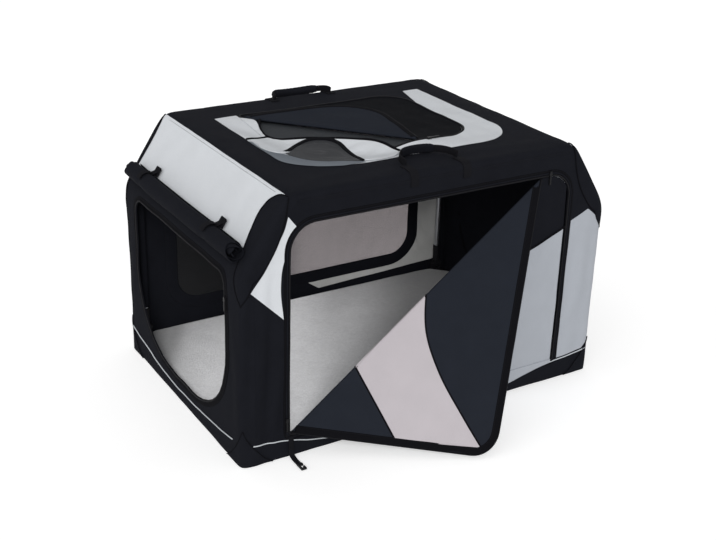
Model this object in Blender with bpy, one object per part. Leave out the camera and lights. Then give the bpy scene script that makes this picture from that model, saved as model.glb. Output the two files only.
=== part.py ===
"""Soft folding pet crate: two steel arches that fold down on locking hinges, and a sewn fabric cover.

X runs along the crate, with the open end doorway at -X. The big side door is on the -Y side, and Z is up.
The origin is the middle of the crate's footprint, on the ground. Every size is in metres.
"""
import math

import bmesh
import bpy
from mathutils import Matrix, Vector

# Whole crate, over the fabric
LENGTH = 0.91
WIDTH = 0.61
HEIGHT = 0.58
KNEE_HEIGHT = 0.42
ROOF_LENGTH = 0.703

# Sewn fabric
PANEL = 0.003
SEAM_GAP = 0.0004
TAPE = 0.0014
TAPE_WIDTH = 0.016
MESH_CLOTH = 0.001
CLOTH_GAP = 0.0006
EDGE_GAP = 0.002

# Side door, in the front wall: it is unzipped along its left and top edges, and folded out over a crease
DOOR_HALF = 0.345
DOOR_BOTTOM = 0.053
DOOR_TOP = 0.515
DOOR_CORNER = 0.055
DOOR_FOOT_CORNER = 0.006
LEAST_CORNER = 0.001
CREASE_TOP_X = 0.268
DOOR_OPEN_DEG = 141.0

# End doorways
END_HALF = 0.235
END_BOTTOM = 0.057
END_DROP = 0.020
END_TOP = KNEE_HEIGHT - END_DROP
END_FOOT_CORNER = 0.18
END_TOP_CORNER = 0.03

# Rear window
WINDOW_HALF = 0.333
WINDOW_BOTTOM = 0.10
WINDOW_TOP = 0.50
WINDOW_CORNER = 0.055
WINDOW_COVER_LAP = 0.028

# Roof hatch, unzipped at its front left corner and folded back over a crease
HATCH_LEFT = -0.213
HATCH_RIGHT = 0.208
HATCH_FRONT = -0.13
HATCH_BACK = 0.197
HATCH_CORNER = 0.07
HATCH_OPEN_CORNER = 0.12
HATCH_HINGE_CORNER = 0.012
HATCH_CREASE_BACK_Y = 0.180
HATCH_CREASE_FRONT_X = 0.062
HATCH_OPEN_DEG = 172.0
HATCH_MESH_LAP = 0.012
HATCH_MESH_BAND = 0.058
MESH_FLAP_DEPTH = 0.058
MESH_FLAP_LEFT = (-0.208, -0.040)
MESH_FLAP_RIGHT = (-0.080, -0.126)

# Steel tube and the arches that it makes
TUBE_RADIUS = 0.0065
TUBE_WALL = 0.0012
TUBE_BEND = 0.038
TUBE_FIT = 0.0003
NEST = 0.016
COVER_GAP = 0.001

# Moulded corner brackets and the hinges on them
BRACKET_BASE = 0.0034
BRACKET_TOP = 0.0255
BRACKET_ARM = 0.060
BRACKET_ARM_WIDTH = 0.022
BRACKET_ROUND = 0.006
SOCKET_DEPTH = 0.026
CHEEK = 0.0035
RUN_GAP = 0.0004
TONGUE_HALF = 0.0075
EAR_RADIUS = 0.0098
TONGUE_RADIUS = 0.0094
SLOT_DROP = 0.0108
FRONT_PIVOT_HEIGHT = 0.085
REAR_PIVOT_HEIGHT = 0.050
PIN_RADIUS = 0.003
BUTTON_RADIUS = 0.0062
BUTTON_PROUD = 0.0036
BUTTON_TRAVEL = 0.003
FOOT_RADIUS = 0.0090
FOOT_HEIGHT = 0.054
FOOT_START = 0.0120
FOOT_SOCKET_FLOOR = 0.0165
FOOT_CHAMFER = 0.0008
ROUND_SHARE = 0.999

# Floor
FLOOR_BOARD = 0.004
FLOOR_MARGIN = 0.0015
MAT_THICKNESS = 0.010
MAT_MARGIN = 0.006
MAT_CORNER = 0.020

# Rolled-up end door, and the two toggles that hold it
ROLL_RADIUS = 0.0195
ROLL_HALF = 0.268
ROLL_UP_SLOPE = 0.045
ROLL_GAP = 0.001
STRAP_WIDTH = 0.013
STRAP = 0.0016
TOGGLE_FRONT_Y = -0.155
TOGGLE_REAR_Y = 0.182
TOGGLE_RADIUS = 0.0045
TOGGLE_HALF = 0.011
TOGGLE_TAB = 0.006

# Reflective piping round the base: high at the corners, low along each side
PIPING_RADIUS = 0.0013
PIPING_LOW = 0.026
PIPING_HIGH = 0.058
PIPING_SWEEP = 0.12
PIPING_CORNER = 0.0022

# Carry handles of webbing, one at each long roof edge
HANDLE_HALF = 0.072
HANDLE_REACH = 0.066
HANDLE_EDGE = 0.037
HANDLE_STRAP = 0.0030
HANDLE_WIDTH = 0.016
HANDLE_FRONT_DEG = 8.0
HANDLE_REAR_DEG = 158.0
HANDLE_FULLNESS = 0.8
WRAP_THICK = 0.0035
WRAP_HALF_SPAN = 0.40

# Zip sliders
SLIDER_LENGTH = 0.009
SLIDER_WIDTH = 0.008
SLIDER_THICK = 0.0035
SLIDER_NOSE = 0.6
TAB_LENGTH = 0.022
TAB_WIDTH = 0.004

# Tether strap and its hook, sewn beside the side door's lower left corner
TETHER_X = -0.345
TETHER_WIDTH = 0.012
TETHER_TOP = 0.050
TETHER_REACH = 0.036
TETHER_BEND = 0.010
HOOK_LENGTH = 0.022
HOOK_THICK = 0.004
HOOK_SLOT_HALF = 0.35
HOOK_SLOT_NEAR = 0.30
HOOK_SLOT_FAR = 0.80
HOOK_BARB = 0.55
GROUND_GAP = 0.0012

# Worked-out places
HALF_LENGTH = LENGTH / 2
HALF_WIDTH = WIDTH / 2
HALF_ROOF = ROOF_LENGTH / 2
SLOPE_RUN = HALF_LENGTH - HALF_ROOF
SLOPE_RISE = HEIGHT - KNEE_HEIGHT
SLOPE_LENGTH = math.hypot(SLOPE_RUN, SLOPE_RISE)
SLOPE_ANGLE = math.atan2(SLOPE_RUN, SLOPE_RISE)
INSIDE_X = HALF_LENGTH - PANEL - COVER_GAP
INSIDE_Y = HALF_WIDTH - PANEL - COVER_GAP
TUBE_AXIS = BRACKET_ARM_WIDTH / 2
TUBE_HEIGHT = (BRACKET_BASE + BRACKET_TOP) / 2
EAR_HALF = TONGUE_HALF + RUN_GAP + CHEEK
PIVOT_Y = INSIDE_Y - EAR_RADIUS - RUN_GAP
FRONT_POST_X = INSIDE_X - EAR_HALF
REAR_POST_X = FRONT_POST_X - NEST
TOP_RAIL = HEIGHT - PANEL - COVER_GAP - TUBE_RADIUS
FLOOR_Z = BRACKET_TOP + SEAM_GAP
MAT_Z = FLOOR_Z + FLOOR_BOARD + SEAM_GAP
CREASE_FOOT = Vector((-DOOR_HALF, -HALF_WIDTH, DOOR_BOTTOM))
CREASE_TOP = Vector((CREASE_TOP_X, -HALF_WIDTH, DOOR_TOP))
HATCH_CREASE_BACK = Vector((HATCH_LEFT, HATCH_CREASE_BACK_Y, HEIGHT))
HATCH_CREASE_FRONT = Vector((HATCH_CREASE_FRONT_X, HATCH_FRONT, HEIGHT))

MATERIALS = {}


def material(name, color, roughness, metallic=0.0):
    """One Principled material, made once and shared by name."""
    if name not in MATERIALS:
        made = bpy.data.materials.new(name)
        made.use_nodes = True
        shader = made.node_tree.nodes["Principled BSDF"]
        shader.inputs["Base Color"].default_value = (*color, 1.0)
        shader.inputs["Roughness"].default_value = roughness
        shader.inputs["Metallic"].default_value = metallic
        MATERIALS[name] = made
    return MATERIALS[name]


def black_cloth():
    return material("black_cloth", (0.012, 0.012, 0.015), 0.85)


def grey_cloth():
    return material("grey_cloth", (0.62, 0.64, 0.66), 0.8)


def mesh_cloth():
    return material("mesh_cloth", (0.03, 0.03, 0.035), 0.7)


def webbing():
    return material("webbing", (0.010, 0.010, 0.012), 0.75)


def black_plastic():
    return material("black_plastic", (0.015, 0.015, 0.017), 0.45)


def steel():
    return material("steel", (0.62, 0.63, 0.65), 0.3, 1.0)


def fleece():
    return material("fleece", (0.60, 0.60, 0.62), 0.95)


def piping_cloth():
    return material("reflective", (0.70, 0.72, 0.74), 0.35)


# Empties that carry the moving pieces
def joint_empty(name, location, turn=None):
    """An empty on a joint's axis; turn is the rest rotation of the pieces on it."""
    empty = bpy.data.objects.new(name, None)
    bpy.context.scene.collection.objects.link(empty)
    empty.matrix_world = Matrix.Translation(location) @ (turn or Matrix.Identity(4))
    return empty


def add_object(name, bm, mat, empty=None, origin=(0.0, 0.0, 0.0)):
    """Make a named object from a bmesh in world coordinates, with its origin moved to the joint's axis."""
    bmesh.ops.translate(bm, verts=bm.verts, vec=-Vector(origin))
    mesh = bpy.data.meshes.new(name)
    bm.to_mesh(mesh)
    bm.free()
    mesh.shade_smooth()
    mesh.set_sharp_from_angle(angle=math.radians(35))
    obj = bpy.data.objects.new(name, mesh)
    bpy.context.scene.collection.objects.link(obj)
    obj.data.materials.append(mat)
    if empty is not None:
        obj.parent = empty
    else:
        obj.location = origin
    return obj


def hidden_cutter(name, bm):
    """A guide solid for a Boolean; it isn't part of the crate."""
    cutter = add_object(name, bm, black_plastic())
    cutter.hide_render = True
    cutter.display_type = "WIRE"
    return cutter


def boolean(target, cutter, operation):
    modifier = target.modifiers.new(cutter.name, "BOOLEAN")
    modifier.operation = operation
    modifier.solver = "EXACT"
    modifier.object = cutter


# Flat outlines, as lists of (u, v) going anticlockwise
def rounded_outline(corners, steps=6):
    """Round each corner (u, v, radius) of a polygon with an arc tangent to both its sides."""
    points = []
    count = len(corners)
    for index, (u, v, radius) in enumerate(corners):
        here = Vector((u, v))
        if radius <= 0:
            points.append(here)
            continue
        before = (Vector(corners[index - 1][:2]) - here).normalized()
        after = (Vector(corners[(index + 1) % count][:2]) - here).normalized()
        half = before.angle(after) / 2
        reach = radius / math.tan(half)
        centre = here + (before + after).normalized() * (radius / math.sin(half))
        start = here + before * reach - centre
        turn = -(math.pi - 2 * half) if start.cross(here + after * reach - centre) < 0 else math.pi - 2 * half
        for step in range(steps + 1):
            angle = turn * step / steps
            points.append(centre + Matrix.Rotation(angle, 2) @ start)
    return [tuple(point) for point in points]


def box_outline(left, right, low, high, low_radius=0.0, high_radius=None, steps=6):
    """A rectangle with its two low corners and its two high corners rounded."""
    top = low_radius if high_radius is None else high_radius
    corners = [(left, low, low_radius), (right, low, low_radius), (right, high, top), (left, high, top)]
    return rounded_outline(corners, steps)


def clip(points, start, end, gap):
    """Keep the part of an outline on the left of the line start-end, at least gap away from it."""
    along = (Vector(end) - Vector(start)).normalized()
    side = Vector((-along.y, along.x))
    heights = [(Vector(point) - Vector(start)).dot(side) - gap for point in points]
    kept = []
    for index, point in enumerate(points):
        previous = points[index - 1]
        here, there = heights[index], heights[index - 1]
        if (here >= 0) != (there >= 0):
            share = there / (there - here)
            kept.append(tuple(Vector(previous).lerp(Vector(point), share)))
        if here >= 0:
            kept.append(point)
    return kept


# Planes that panels lie in: origin, u, v and outward normal
def plane(origin, across, up):
    across, up = Vector(across), Vector(up)
    out = across.cross(up)
    frame = Matrix((across, up, out)).transposed().to_4x4()
    return Matrix.Translation(origin) @ frame


FRONT_PLANE = plane((0, -HALF_WIDTH, 0), (1, 0, 0), (0, 0, 1))
REAR_PLANE = plane((0, HALF_WIDTH, 0), (-1, 0, 0), (0, 0, 1))
LEFT_PLANE = plane((-HALF_LENGTH, 0, 0), (0, -1, 0), (0, 0, 1))
RIGHT_PLANE = plane((HALF_LENGTH, 0, 0), (0, 1, 0), (0, 0, 1))
ROOF_PLANE = plane((0, 0, HEIGHT), (1, 0, 0), (0, 1, 0))
GROUND_PLANE = plane((0, 0, 0), (1, 0, 0), (0, 1, 0))


def slope_plane(side):
    """The sloping panel at one end: side is -1 at the left and 1 at the right."""
    knee = (side * HALF_LENGTH, 0, KNEE_HEIGHT)
    return plane(knee, (0, side, 0), (-side * math.sin(SLOPE_ANGLE), 0, math.cos(SLOPE_ANGLE)))


def slab_mesh(outline, frame, low, high, holes=()):
    """A flat panel: an outline with holes, filled and drawn out from low to high along the plane's normal."""
    bm = bmesh.new()
    edges = []
    for loop in (outline, *holes):
        verts = [bm.verts.new((u, v, low)) for u, v in loop]
        edges += [bm.edges.new((verts[i - 1], verts[i])) for i in range(len(verts))]
    bmesh.ops.triangle_fill(bm, edges=edges, use_beauty=True)
    grown = bmesh.ops.extrude_face_region(bm, geom=bm.faces[:])
    moved = [item for item in grown["geom"] if isinstance(item, bmesh.types.BMVert)]
    bmesh.ops.translate(bm, verts=moved, vec=(0, 0, high - low))
    bmesh.ops.recalc_face_normals(bm, faces=bm.faces)
    bmesh.ops.transform(bm, verts=bm.verts, matrix=frame)
    return bm


def cylinder_mesh(start, end, radius, sides=20, chamfer=0.0):
    """A round bar between two points, with its end edges cut back by chamfer."""
    start, end = Vector(start), Vector(end)
    axis = (end - start).normalized()
    length = (end - start).length
    stations = [(0.0, radius), (length, radius)]
    if chamfer:
        stations = [(0.0, radius - chamfer), (chamfer, radius), (length - chamfer, radius),
                    (length, radius - chamfer)]
    turn = Vector((0, 0, 1)).rotation_difference(axis).to_matrix()
    bm = bmesh.new()
    rings = []
    for along, size in stations:
        ring = []
        for step in range(sides):
            angle = 2 * math.pi * step / sides
            local = Vector((size * math.cos(angle), size * math.sin(angle), along))
            ring.append(bm.verts.new(start + turn @ local))
        rings.append(ring)
    join_rings(bm, rings)
    bm.faces.new(list(reversed(rings[0])))
    bm.faces.new(rings[-1])
    return bm


def join_rings(bm, rings, closed=False):
    """Bridge each ring of vertices to the next one with quads."""
    count = len(rings) if closed else len(rings) - 1
    for index in range(count):
        ring, following = rings[index], rings[(index + 1) % len(rings)]
        size = len(ring)
        for step in range(size):
            after = (step + 1) % size
            bm.faces.new((ring[step], ring[after], following[after], following[step]))


def rounded_path(corners, steps=6):
    """A path through corners (x, y, z, radius) with a tangent arc at each corner that has a radius."""
    points = [Vector(corners[0][:3])]
    for index in range(1, len(corners) - 1):
        here = Vector(corners[index][:3])
        radius = corners[index][3]
        before = (Vector(corners[index - 1][:3]) - here).normalized()
        after = (Vector(corners[index + 1][:3]) - here).normalized()
        half = before.angle(after) / 2
        reach = radius / math.tan(half)
        centre = here + (before + after).normalized() * (radius / math.sin(half))
        start = here + before * reach - centre
        normal = start.cross(here + after * reach - centre).normalized()
        for step in range(steps + 1):
            angle = (math.pi - 2 * half) * step / steps
            points.append(centre + Matrix.Rotation(angle, 3, normal) @ start)
    points.append(Vector(corners[-1][:3]))
    return points


def sweep_rings(bm, path, section, side_axis, closed=False):
    """Carry a flat section (side, out) along a path; side_axis is the direction of its first coordinate."""
    rings = []
    count = len(path)
    for index, point in enumerate(path):
        before = path[index - 1] if (index or closed) else point
        after = path[(index + 1) % count] if (index < count - 1 or closed) else point
        along = (after - before).normalized()
        side = (side_axis - along * side_axis.dot(along)).normalized()
        out = along.cross(side)
        rings.append([bm.verts.new(point + side * a + out * b) for a, b in section])
    join_rings(bm, rings, closed)
    return rings


def circle_section(radius, sides):
    return [(radius * math.cos(2 * math.pi * i / sides), radius * math.sin(2 * math.pi * i / sides))
            for i in range(sides)]


def box_section(half_width, half_thick):
    return [(half_width, half_thick), (-half_width, half_thick), (-half_width, -half_thick),
            (half_width, -half_thick)]


def bar_mesh(path, section, side_axis):
    """A solid bar of one section along an open path."""
    bm = bmesh.new()
    rings = sweep_rings(bm, path, section, Vector(side_axis))
    bm.faces.new(rings[0])
    bm.faces.new(rings[-1])
    bmesh.ops.recalc_face_normals(bm, faces=bm.faces)
    return bm


def pipe_mesh(path, outer, inner, side_axis):
    """A hollow bar: the outer section's skin, the inner one's, and a rim at each end."""
    bm = bmesh.new()
    skins = [sweep_rings(bm, path, section, Vector(side_axis)) for section in (outer, inner)]
    for end in (0, -1):
        out_ring, in_ring = skins[0][end], skins[1][end]
        for step in range(len(outer)):
            after = (step + 1) % len(outer)
            bm.faces.new((out_ring[step], out_ring[after], in_ring[after], in_ring[step]))
    bmesh.ops.recalc_face_normals(bm, faces=bm.faces)
    return bm


def mirrored(bm, side_x, side_y):
    """Move a mesh made for the +X +Y corner to another corner."""
    bmesh.ops.scale(bm, verts=bm.verts, vec=(side_x, side_y, 1))
    if side_x * side_y < 0:
        bmesh.ops.reverse_faces(bm, faces=bm.faces)
    return bm


# Corner brackets, hinge pins and lock buttons
def corner_name(side_x, side_y):
    return ("front" if side_y < 0 else "rear") + "_" + ("left" if side_x < 0 else "right")


def pivot_of(side_y):
    """Post place and pivot height of the arch on this side, for the +X end."""
    if side_y < 0:
        return FRONT_POST_X, FRONT_PIVOT_HEIGHT
    return REAR_POST_X, REAR_PIVOT_HEIGHT


def ear_outline(pivot_height):
    """Side view of the hinge column in the Y-Z plane: straight sides and a round top about the pivot."""
    left, right = PIVOT_Y - EAR_RADIUS, PIVOT_Y + EAR_RADIUS
    top = pivot_height + EAR_RADIUS
    foot = BRACKET_TOP - EAR_RADIUS
    near_round = EAR_RADIUS * ROUND_SHARE
    corners = [(left, foot, 0), (right, foot, 0), (right, top, near_round), (left, top, near_round)]
    return rounded_outline(corners, 8)


def bracket_foot_outline():
    """Plan view: two arms, one round each base tube, meeting at the outer corner."""
    far_x, far_y = INSIDE_X, INSIDE_Y
    end_x, end_y = far_x - BRACKET_ARM, far_y - BRACKET_ARM
    in_x, in_y = far_x - BRACKET_ARM_WIDTH, far_y - BRACKET_ARM_WIDTH
    return rounded_outline([(far_x, far_y, BRACKET_ROUND), (end_x, far_y, BRACKET_ROUND / 2),
                            (end_x, in_y, BRACKET_ROUND / 2), (in_x, in_y, BRACKET_ROUND),
                            (in_x, end_y, BRACKET_ROUND / 2), (far_x, end_y, BRACKET_ROUND / 2)], 4)


def corner_bracket(side_x, side_y):
    """Moulded corner: an L-shaped socket for the base tubes under a slotted column for the arch's foot."""
    post_x, pivot_height = pivot_of(side_y)
    name = corner_name(side_x, side_y)
    side_view = plane((0, 0, 0), (0, 1, 0), (0, 0, 1))
    foot = slab_mesh(bracket_foot_outline(), GROUND_PLANE, BRACKET_BASE, BRACKET_TOP)
    bracket = add_object("corner_bracket_" + name, mirrored(foot, side_x, side_y), black_plastic())
    column = slab_mesh(ear_outline(pivot_height), side_view, post_x - EAR_HALF, post_x + EAR_HALF)
    boolean(bracket, hidden_cutter("column_" + name, mirrored(column, side_x, side_y)), "UNION")
    slot_half = TONGUE_HALF + RUN_GAP
    slot = slab_mesh(box_outline(post_x - slot_half, post_x + slot_half, PIVOT_Y - 2 * EAR_RADIUS,
                                 PIVOT_Y + 2 * EAR_RADIUS), GROUND_PLANE, pivot_height - SLOT_DROP,
                     pivot_height + 2 * EAR_RADIUS)
    pivot = Vector((post_x, PIVOT_Y, pivot_height))
    through = Vector((2 * EAR_HALF, 0, 0))
    cutters = [slot, cylinder_mesh(pivot, pivot + through, PIN_RADIUS + TUBE_FIT),
               cylinder_mesh(pivot - through, pivot, BUTTON_RADIUS + RUN_GAP)]
    arm_x, arm_y = INSIDE_X - BRACKET_ARM, INSIDE_Y - BRACKET_ARM
    tube_x, tube_y = INSIDE_X - TUBE_AXIS, INSIDE_Y - TUBE_AXIS
    for mouth, socket in ((Vector((arm_x, tube_y, TUBE_HEIGHT)), Vector((SOCKET_DEPTH, 0, 0))),
                          (Vector((tube_x, arm_y, TUBE_HEIGHT)), Vector((0, SOCKET_DEPTH, 0)))):
        cutters.append(cylinder_mesh(mouth - socket, mouth + socket, TUBE_RADIUS + TUBE_FIT))
    for index, cutter in enumerate(cutters):
        guide = hidden_cutter(f"cut_{name}_{index}", mirrored(cutter, side_x, side_y))
        boolean(bracket, guide, "DIFFERENCE")


def hinge_pin(side_x, side_y):
    post_x, height = pivot_of(side_y)
    counterbore = TONGUE_HALF - BUTTON_TRAVEL - 3 * RUN_GAP
    start = (post_x - counterbore + RUN_GAP, PIVOT_Y, height)
    end = (post_x + EAR_HALF - RUN_GAP, PIVOT_Y, height)
    pin = cylinder_mesh(start, end, PIN_RADIUS, 16, PIN_RADIUS / 5)
    add_object("hinge_pin_" + corner_name(side_x, side_y), mirrored(pin, side_x, side_y), steel())


def lock_button(side_x, side_y):
    """Round push button in the inner ear, on the hinge's own axis."""
    post_x, height = pivot_of(side_y)
    inner = post_x - TONGUE_HALF - RUN_GAP
    face = (inner - CHEEK - BUTTON_PROUD, PIVOT_Y, height)
    button = cylinder_mesh(face, (inner, PIVOT_Y, height), BUTTON_RADIUS, 20, BUTTON_RADIUS / 8)
    name = corner_name(side_x, side_y)
    at = (side_x * inner, side_y * PIVOT_Y, height)
    empty = joint_empty("lock_button_axis_" + name, at)
    add_object("lock_button_" + name, mirrored(button, side_x, side_y), black_plastic(), empty, at)


def base_tubes():
    """Four straight tubes that plug into the corner brackets."""
    reach_x = INSIDE_X - BRACKET_ARM + SOCKET_DEPTH - RUN_GAP
    reach_y = INSIDE_Y - BRACKET_ARM + SOCKET_DEPTH - RUN_GAP
    tube_x, tube_y = INSIDE_X - TUBE_AXIS, INSIDE_Y - TUBE_AXIS
    outer = circle_section(TUBE_RADIUS, 16)
    inner = circle_section(TUBE_RADIUS - TUBE_WALL, 16)
    for name, side in (("front", -1), ("rear", 1)):
        path = [Vector((-reach_x, side * tube_y, TUBE_HEIGHT)), Vector((reach_x, side * tube_y, TUBE_HEIGHT))]
        add_object("base_tube_" + name, pipe_mesh(path, outer, inner, (0, 0, 1)), steel())
    for name, side in (("left", -1), ("right", 1)):
        path = [Vector((side * tube_x, -reach_y, TUBE_HEIGHT)), Vector((side * tube_x, reach_y, TUBE_HEIGHT))]
        add_object("base_tube_" + name, pipe_mesh(path, outer, inner, (0, 0, 1)), steel())


# The two arches
def arch_corners(post_x, side_y, pivot_height, inset):
    """Corners of an arch's centre line: posts, sloping shoulders parallel to the cover, and the top rail."""
    y = side_y * PIVOT_Y
    top = TOP_RAIL - inset
    slope_inset = TUBE_RADIUS + PANEL + 2 * COVER_GAP + inset
    level_inset = slope_inset / math.cos(SLOPE_ANGLE)
    knee_z = KNEE_HEIGHT + (HALF_LENGTH - post_x - level_inset) / math.tan(SLOPE_ANGLE)
    shoulder_x = HALF_ROOF + (HEIGHT - top) * math.tan(SLOPE_ANGLE) - level_inset
    foot = pivot_height + FOOT_SOCKET_FLOOR + RUN_GAP
    half = [(post_x, y, foot, 0), (post_x, y, knee_z, TUBE_BEND), (shoulder_x, y, top, TUBE_BEND)]
    return [(-x, y, z, r) for x, y, z, r in half] + list(reversed(half))


def arch(name, side_y, inset):
    """One bent tube from foot to foot, with a moulded foot on each end that turns on a hinge pin."""
    post_x, pivot_height = pivot_of(side_y)
    at = (0, side_y * PIVOT_Y, pivot_height)
    empty = joint_empty(name + "_arch_axis", at)
    path = rounded_path(arch_corners(post_x, side_y, pivot_height, inset), 6)
    sections = [circle_section(radius, 12) for radius in (TUBE_RADIUS, TUBE_RADIUS - TUBE_WALL)]
    tube = pipe_mesh(path, *sections, (0, 1, 0))
    add_object(name + "_arch_tube", tube, steel(), empty, at)
    for side_x in (-1, 1):
        arch_foot(side_x, side_y, empty, at)


def arch_foot(side_x, side_y, empty, at):
    """Moulded end piece: a flat tongue with a round heel for the bracket's slot, and the tube's socket."""
    post_x, height = pivot_of(side_y)
    name = corner_name(side_x, side_y)
    side_view = plane((0, 0, 0), (0, 1, 0), (0, 0, 1))
    low, high = height - TONGUE_RADIUS, height + FOOT_START + RUN_GAP
    left, right = PIVOT_Y - TONGUE_RADIUS, PIVOT_Y + TONGUE_RADIUS
    near_round = TONGUE_RADIUS * ROUND_SHARE
    corners = [(left, low, near_round), (right, low, near_round), (right, high, 0), (left, high, 0)]
    tongue = slab_mesh(rounded_outline(corners, 8), side_view, post_x - TONGUE_HALF, post_x + TONGUE_HALF)
    foot = add_object("arch_foot_" + name, mirrored(tongue, side_x, side_y), black_plastic(), empty, at)
    pivot, up, through = Vector((post_x, PIVOT_Y, height)), Vector((0, 0, 1)), Vector((2 * EAR_HALF, 0, 0))
    socket = cylinder_mesh(pivot + up * FOOT_START, pivot + up * FOOT_HEIGHT, FOOT_RADIUS, 24, FOOT_CHAMFER)
    boolean(foot, hidden_cutter("socket_" + name, mirrored(socket, side_x, side_y)), "UNION")
    face = pivot.x - TONGUE_HALF
    counterbore_end = (face + BUTTON_TRAVEL + 3 * RUN_GAP, PIVOT_Y, height)
    cutters = [
        cylinder_mesh(pivot + up * FOOT_SOCKET_FLOOR, pivot + up * 2 * FOOT_HEIGHT, TUBE_RADIUS + TUBE_FIT),
        cylinder_mesh(pivot - through, pivot + through, PIN_RADIUS + TUBE_FIT),
        cylinder_mesh((face - CHEEK, PIVOT_Y, height), counterbore_end, BUTTON_RADIUS + RUN_GAP),
    ]
    for index, cutter in enumerate(cutters):
        guide = hidden_cutter(f"cut_foot_{name}_{index}", mirrored(cutter, side_x, side_y))
        boolean(foot, guide, "DIFFERENCE")


# Fabric cover
def wall_outline():
    """The end view of the crate, drawn lengthwise: upright to the knees, then sloping in to the roof."""
    return [(-HALF_LENGTH, 0), (HALF_LENGTH, 0), (HALF_LENGTH, KNEE_HEIGHT), (HALF_ROOF, HEIGHT),
            (-HALF_ROOF, HEIGHT), (-HALF_LENGTH, KNEE_HEIGHT)]


def door_outline(grow=0.0):
    """The side door's opening, made larger all round by grow."""
    return box_outline(-DOOR_HALF - grow, DOOR_HALF + grow, DOOR_BOTTOM - grow, DOOR_TOP + grow,
                       max(DOOR_FOOT_CORNER + grow, LEAST_CORNER), DOOR_CORNER + grow)


def end_outline(grow=0.0):
    return box_outline(-END_HALF - grow, END_HALF + grow, END_BOTTOM - grow, END_TOP + grow,
                       END_FOOT_CORNER + grow, END_TOP_CORNER + grow, 8)


def window_outline(grow=0.0):
    return box_outline(-WINDOW_HALF - grow, WINDOW_HALF + grow, WINDOW_BOTTOM - grow, WINDOW_TOP + grow,
                       WINDOW_CORNER + grow)


def hatch_outline(grow=0.0):
    """The hatch's opening: three tight corners, and a wide one at the front left where it is unzipped."""
    left, right = HATCH_LEFT - grow, HATCH_RIGHT + grow
    front, back = HATCH_FRONT - grow, HATCH_BACK + grow
    corners = [(left, front, HATCH_OPEN_CORNER + grow), (right, front, HATCH_CORNER + grow),
               (right, back, HATCH_CORNER + grow), (left, back, HATCH_HINGE_CORNER + grow)]
    return rounded_outline(corners, 8)


def walls():
    long_side = wall_outline()
    add_object("front_wall", slab_mesh(long_side, FRONT_PLANE, -PANEL, 0, [door_outline()]), black_cloth())
    add_object("rear_wall", slab_mesh(long_side, REAR_PLANE, -PANEL, 0, [window_outline()]), black_cloth())
    half = HALF_WIDTH - PANEL - SEAM_GAP
    top = KNEE_HEIGHT - PANEL * math.tan(SLOPE_ANGLE / 2) - SEAM_GAP
    end = box_outline(-half, half, 0, top)
    for name, frame in (("left_end_wall", LEFT_PLANE), ("right_end_wall", RIGHT_PLANE)):
        add_object(name, slab_mesh(end, frame, -PANEL, 0, [end_outline()]), black_cloth())
    low = PANEL * math.tan(SLOPE_ANGLE / 2) + SEAM_GAP
    high = SLOPE_LENGTH - PANEL * math.tan((math.pi / 2 - SLOPE_ANGLE) / 2) - SEAM_GAP
    slope = box_outline(-half, half, low, high)
    for name, side in (("left_slope_panel", -1), ("right_slope_panel", 1)):
        add_object(name, slab_mesh(slope, slope_plane(side), -PANEL, 0), grey_cloth())
    ridge = HALF_ROOF - PANEL * math.tan((math.pi / 2 - SLOPE_ANGLE) / 2) - SEAM_GAP
    roof = box_outline(-ridge, ridge, -half, half)
    add_object("roof_panel", slab_mesh(roof, ROOF_PLANE, -PANEL, 0, [hatch_outline()]), black_cloth())
    under_x, under_y = HALF_LENGTH - PANEL - SEAM_GAP, half
    bottom = box_outline(-under_x, under_x, -under_y, under_y)
    add_object("base_cover", slab_mesh(bottom, GROUND_PLANE, 0, PANEL), black_cloth())


def zip_tapes():
    """Flat zip tapes sewn on the outside, round each opening that has a zip."""
    low, high = SEAM_GAP, SEAM_GAP + TAPE
    rings = (("front_zip_tape", door_outline, FRONT_PLANE), ("left_zip_tape", end_outline, LEFT_PLANE),
             ("right_zip_tape", end_outline, RIGHT_PLANE), ("hatch_zip_tape", hatch_outline, ROOF_PLANE))
    for name, outline, frame in rings:
        ring = slab_mesh(outline(TAPE_WIDTH), frame, low, high, [outline(EDGE_GAP)])
        add_object(name, ring, webbing())


def side_door():
    """The door in two parts: a lower triangle that is still zipped, and a flap that turns on the crease."""
    inside = door_outline(-EDGE_GAP)
    foot, top = (CREASE_FOOT.x, CREASE_FOOT.z), (CREASE_TOP.x, CREASE_TOP.z)
    lower = slab_mesh(clip(inside, top, foot, CLOTH_GAP), FRONT_PLANE, -PANEL, 0)
    add_object("front_door_lower", lower, grey_cloth())
    axis = CREASE_TOP - CREASE_FOOT
    turn = Matrix.Rotation(math.radians(DOOR_OPEN_DEG), 4, axis)
    empty = joint_empty("front_door_flap_axis", CREASE_FOOT, turn)
    flap = slab_mesh(clip(inside, foot, top, CLOTH_GAP), FRONT_PLANE, -PANEL, 0)
    add_object("front_door_flap", flap, black_cloth(), empty, CREASE_FOOT)


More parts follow.
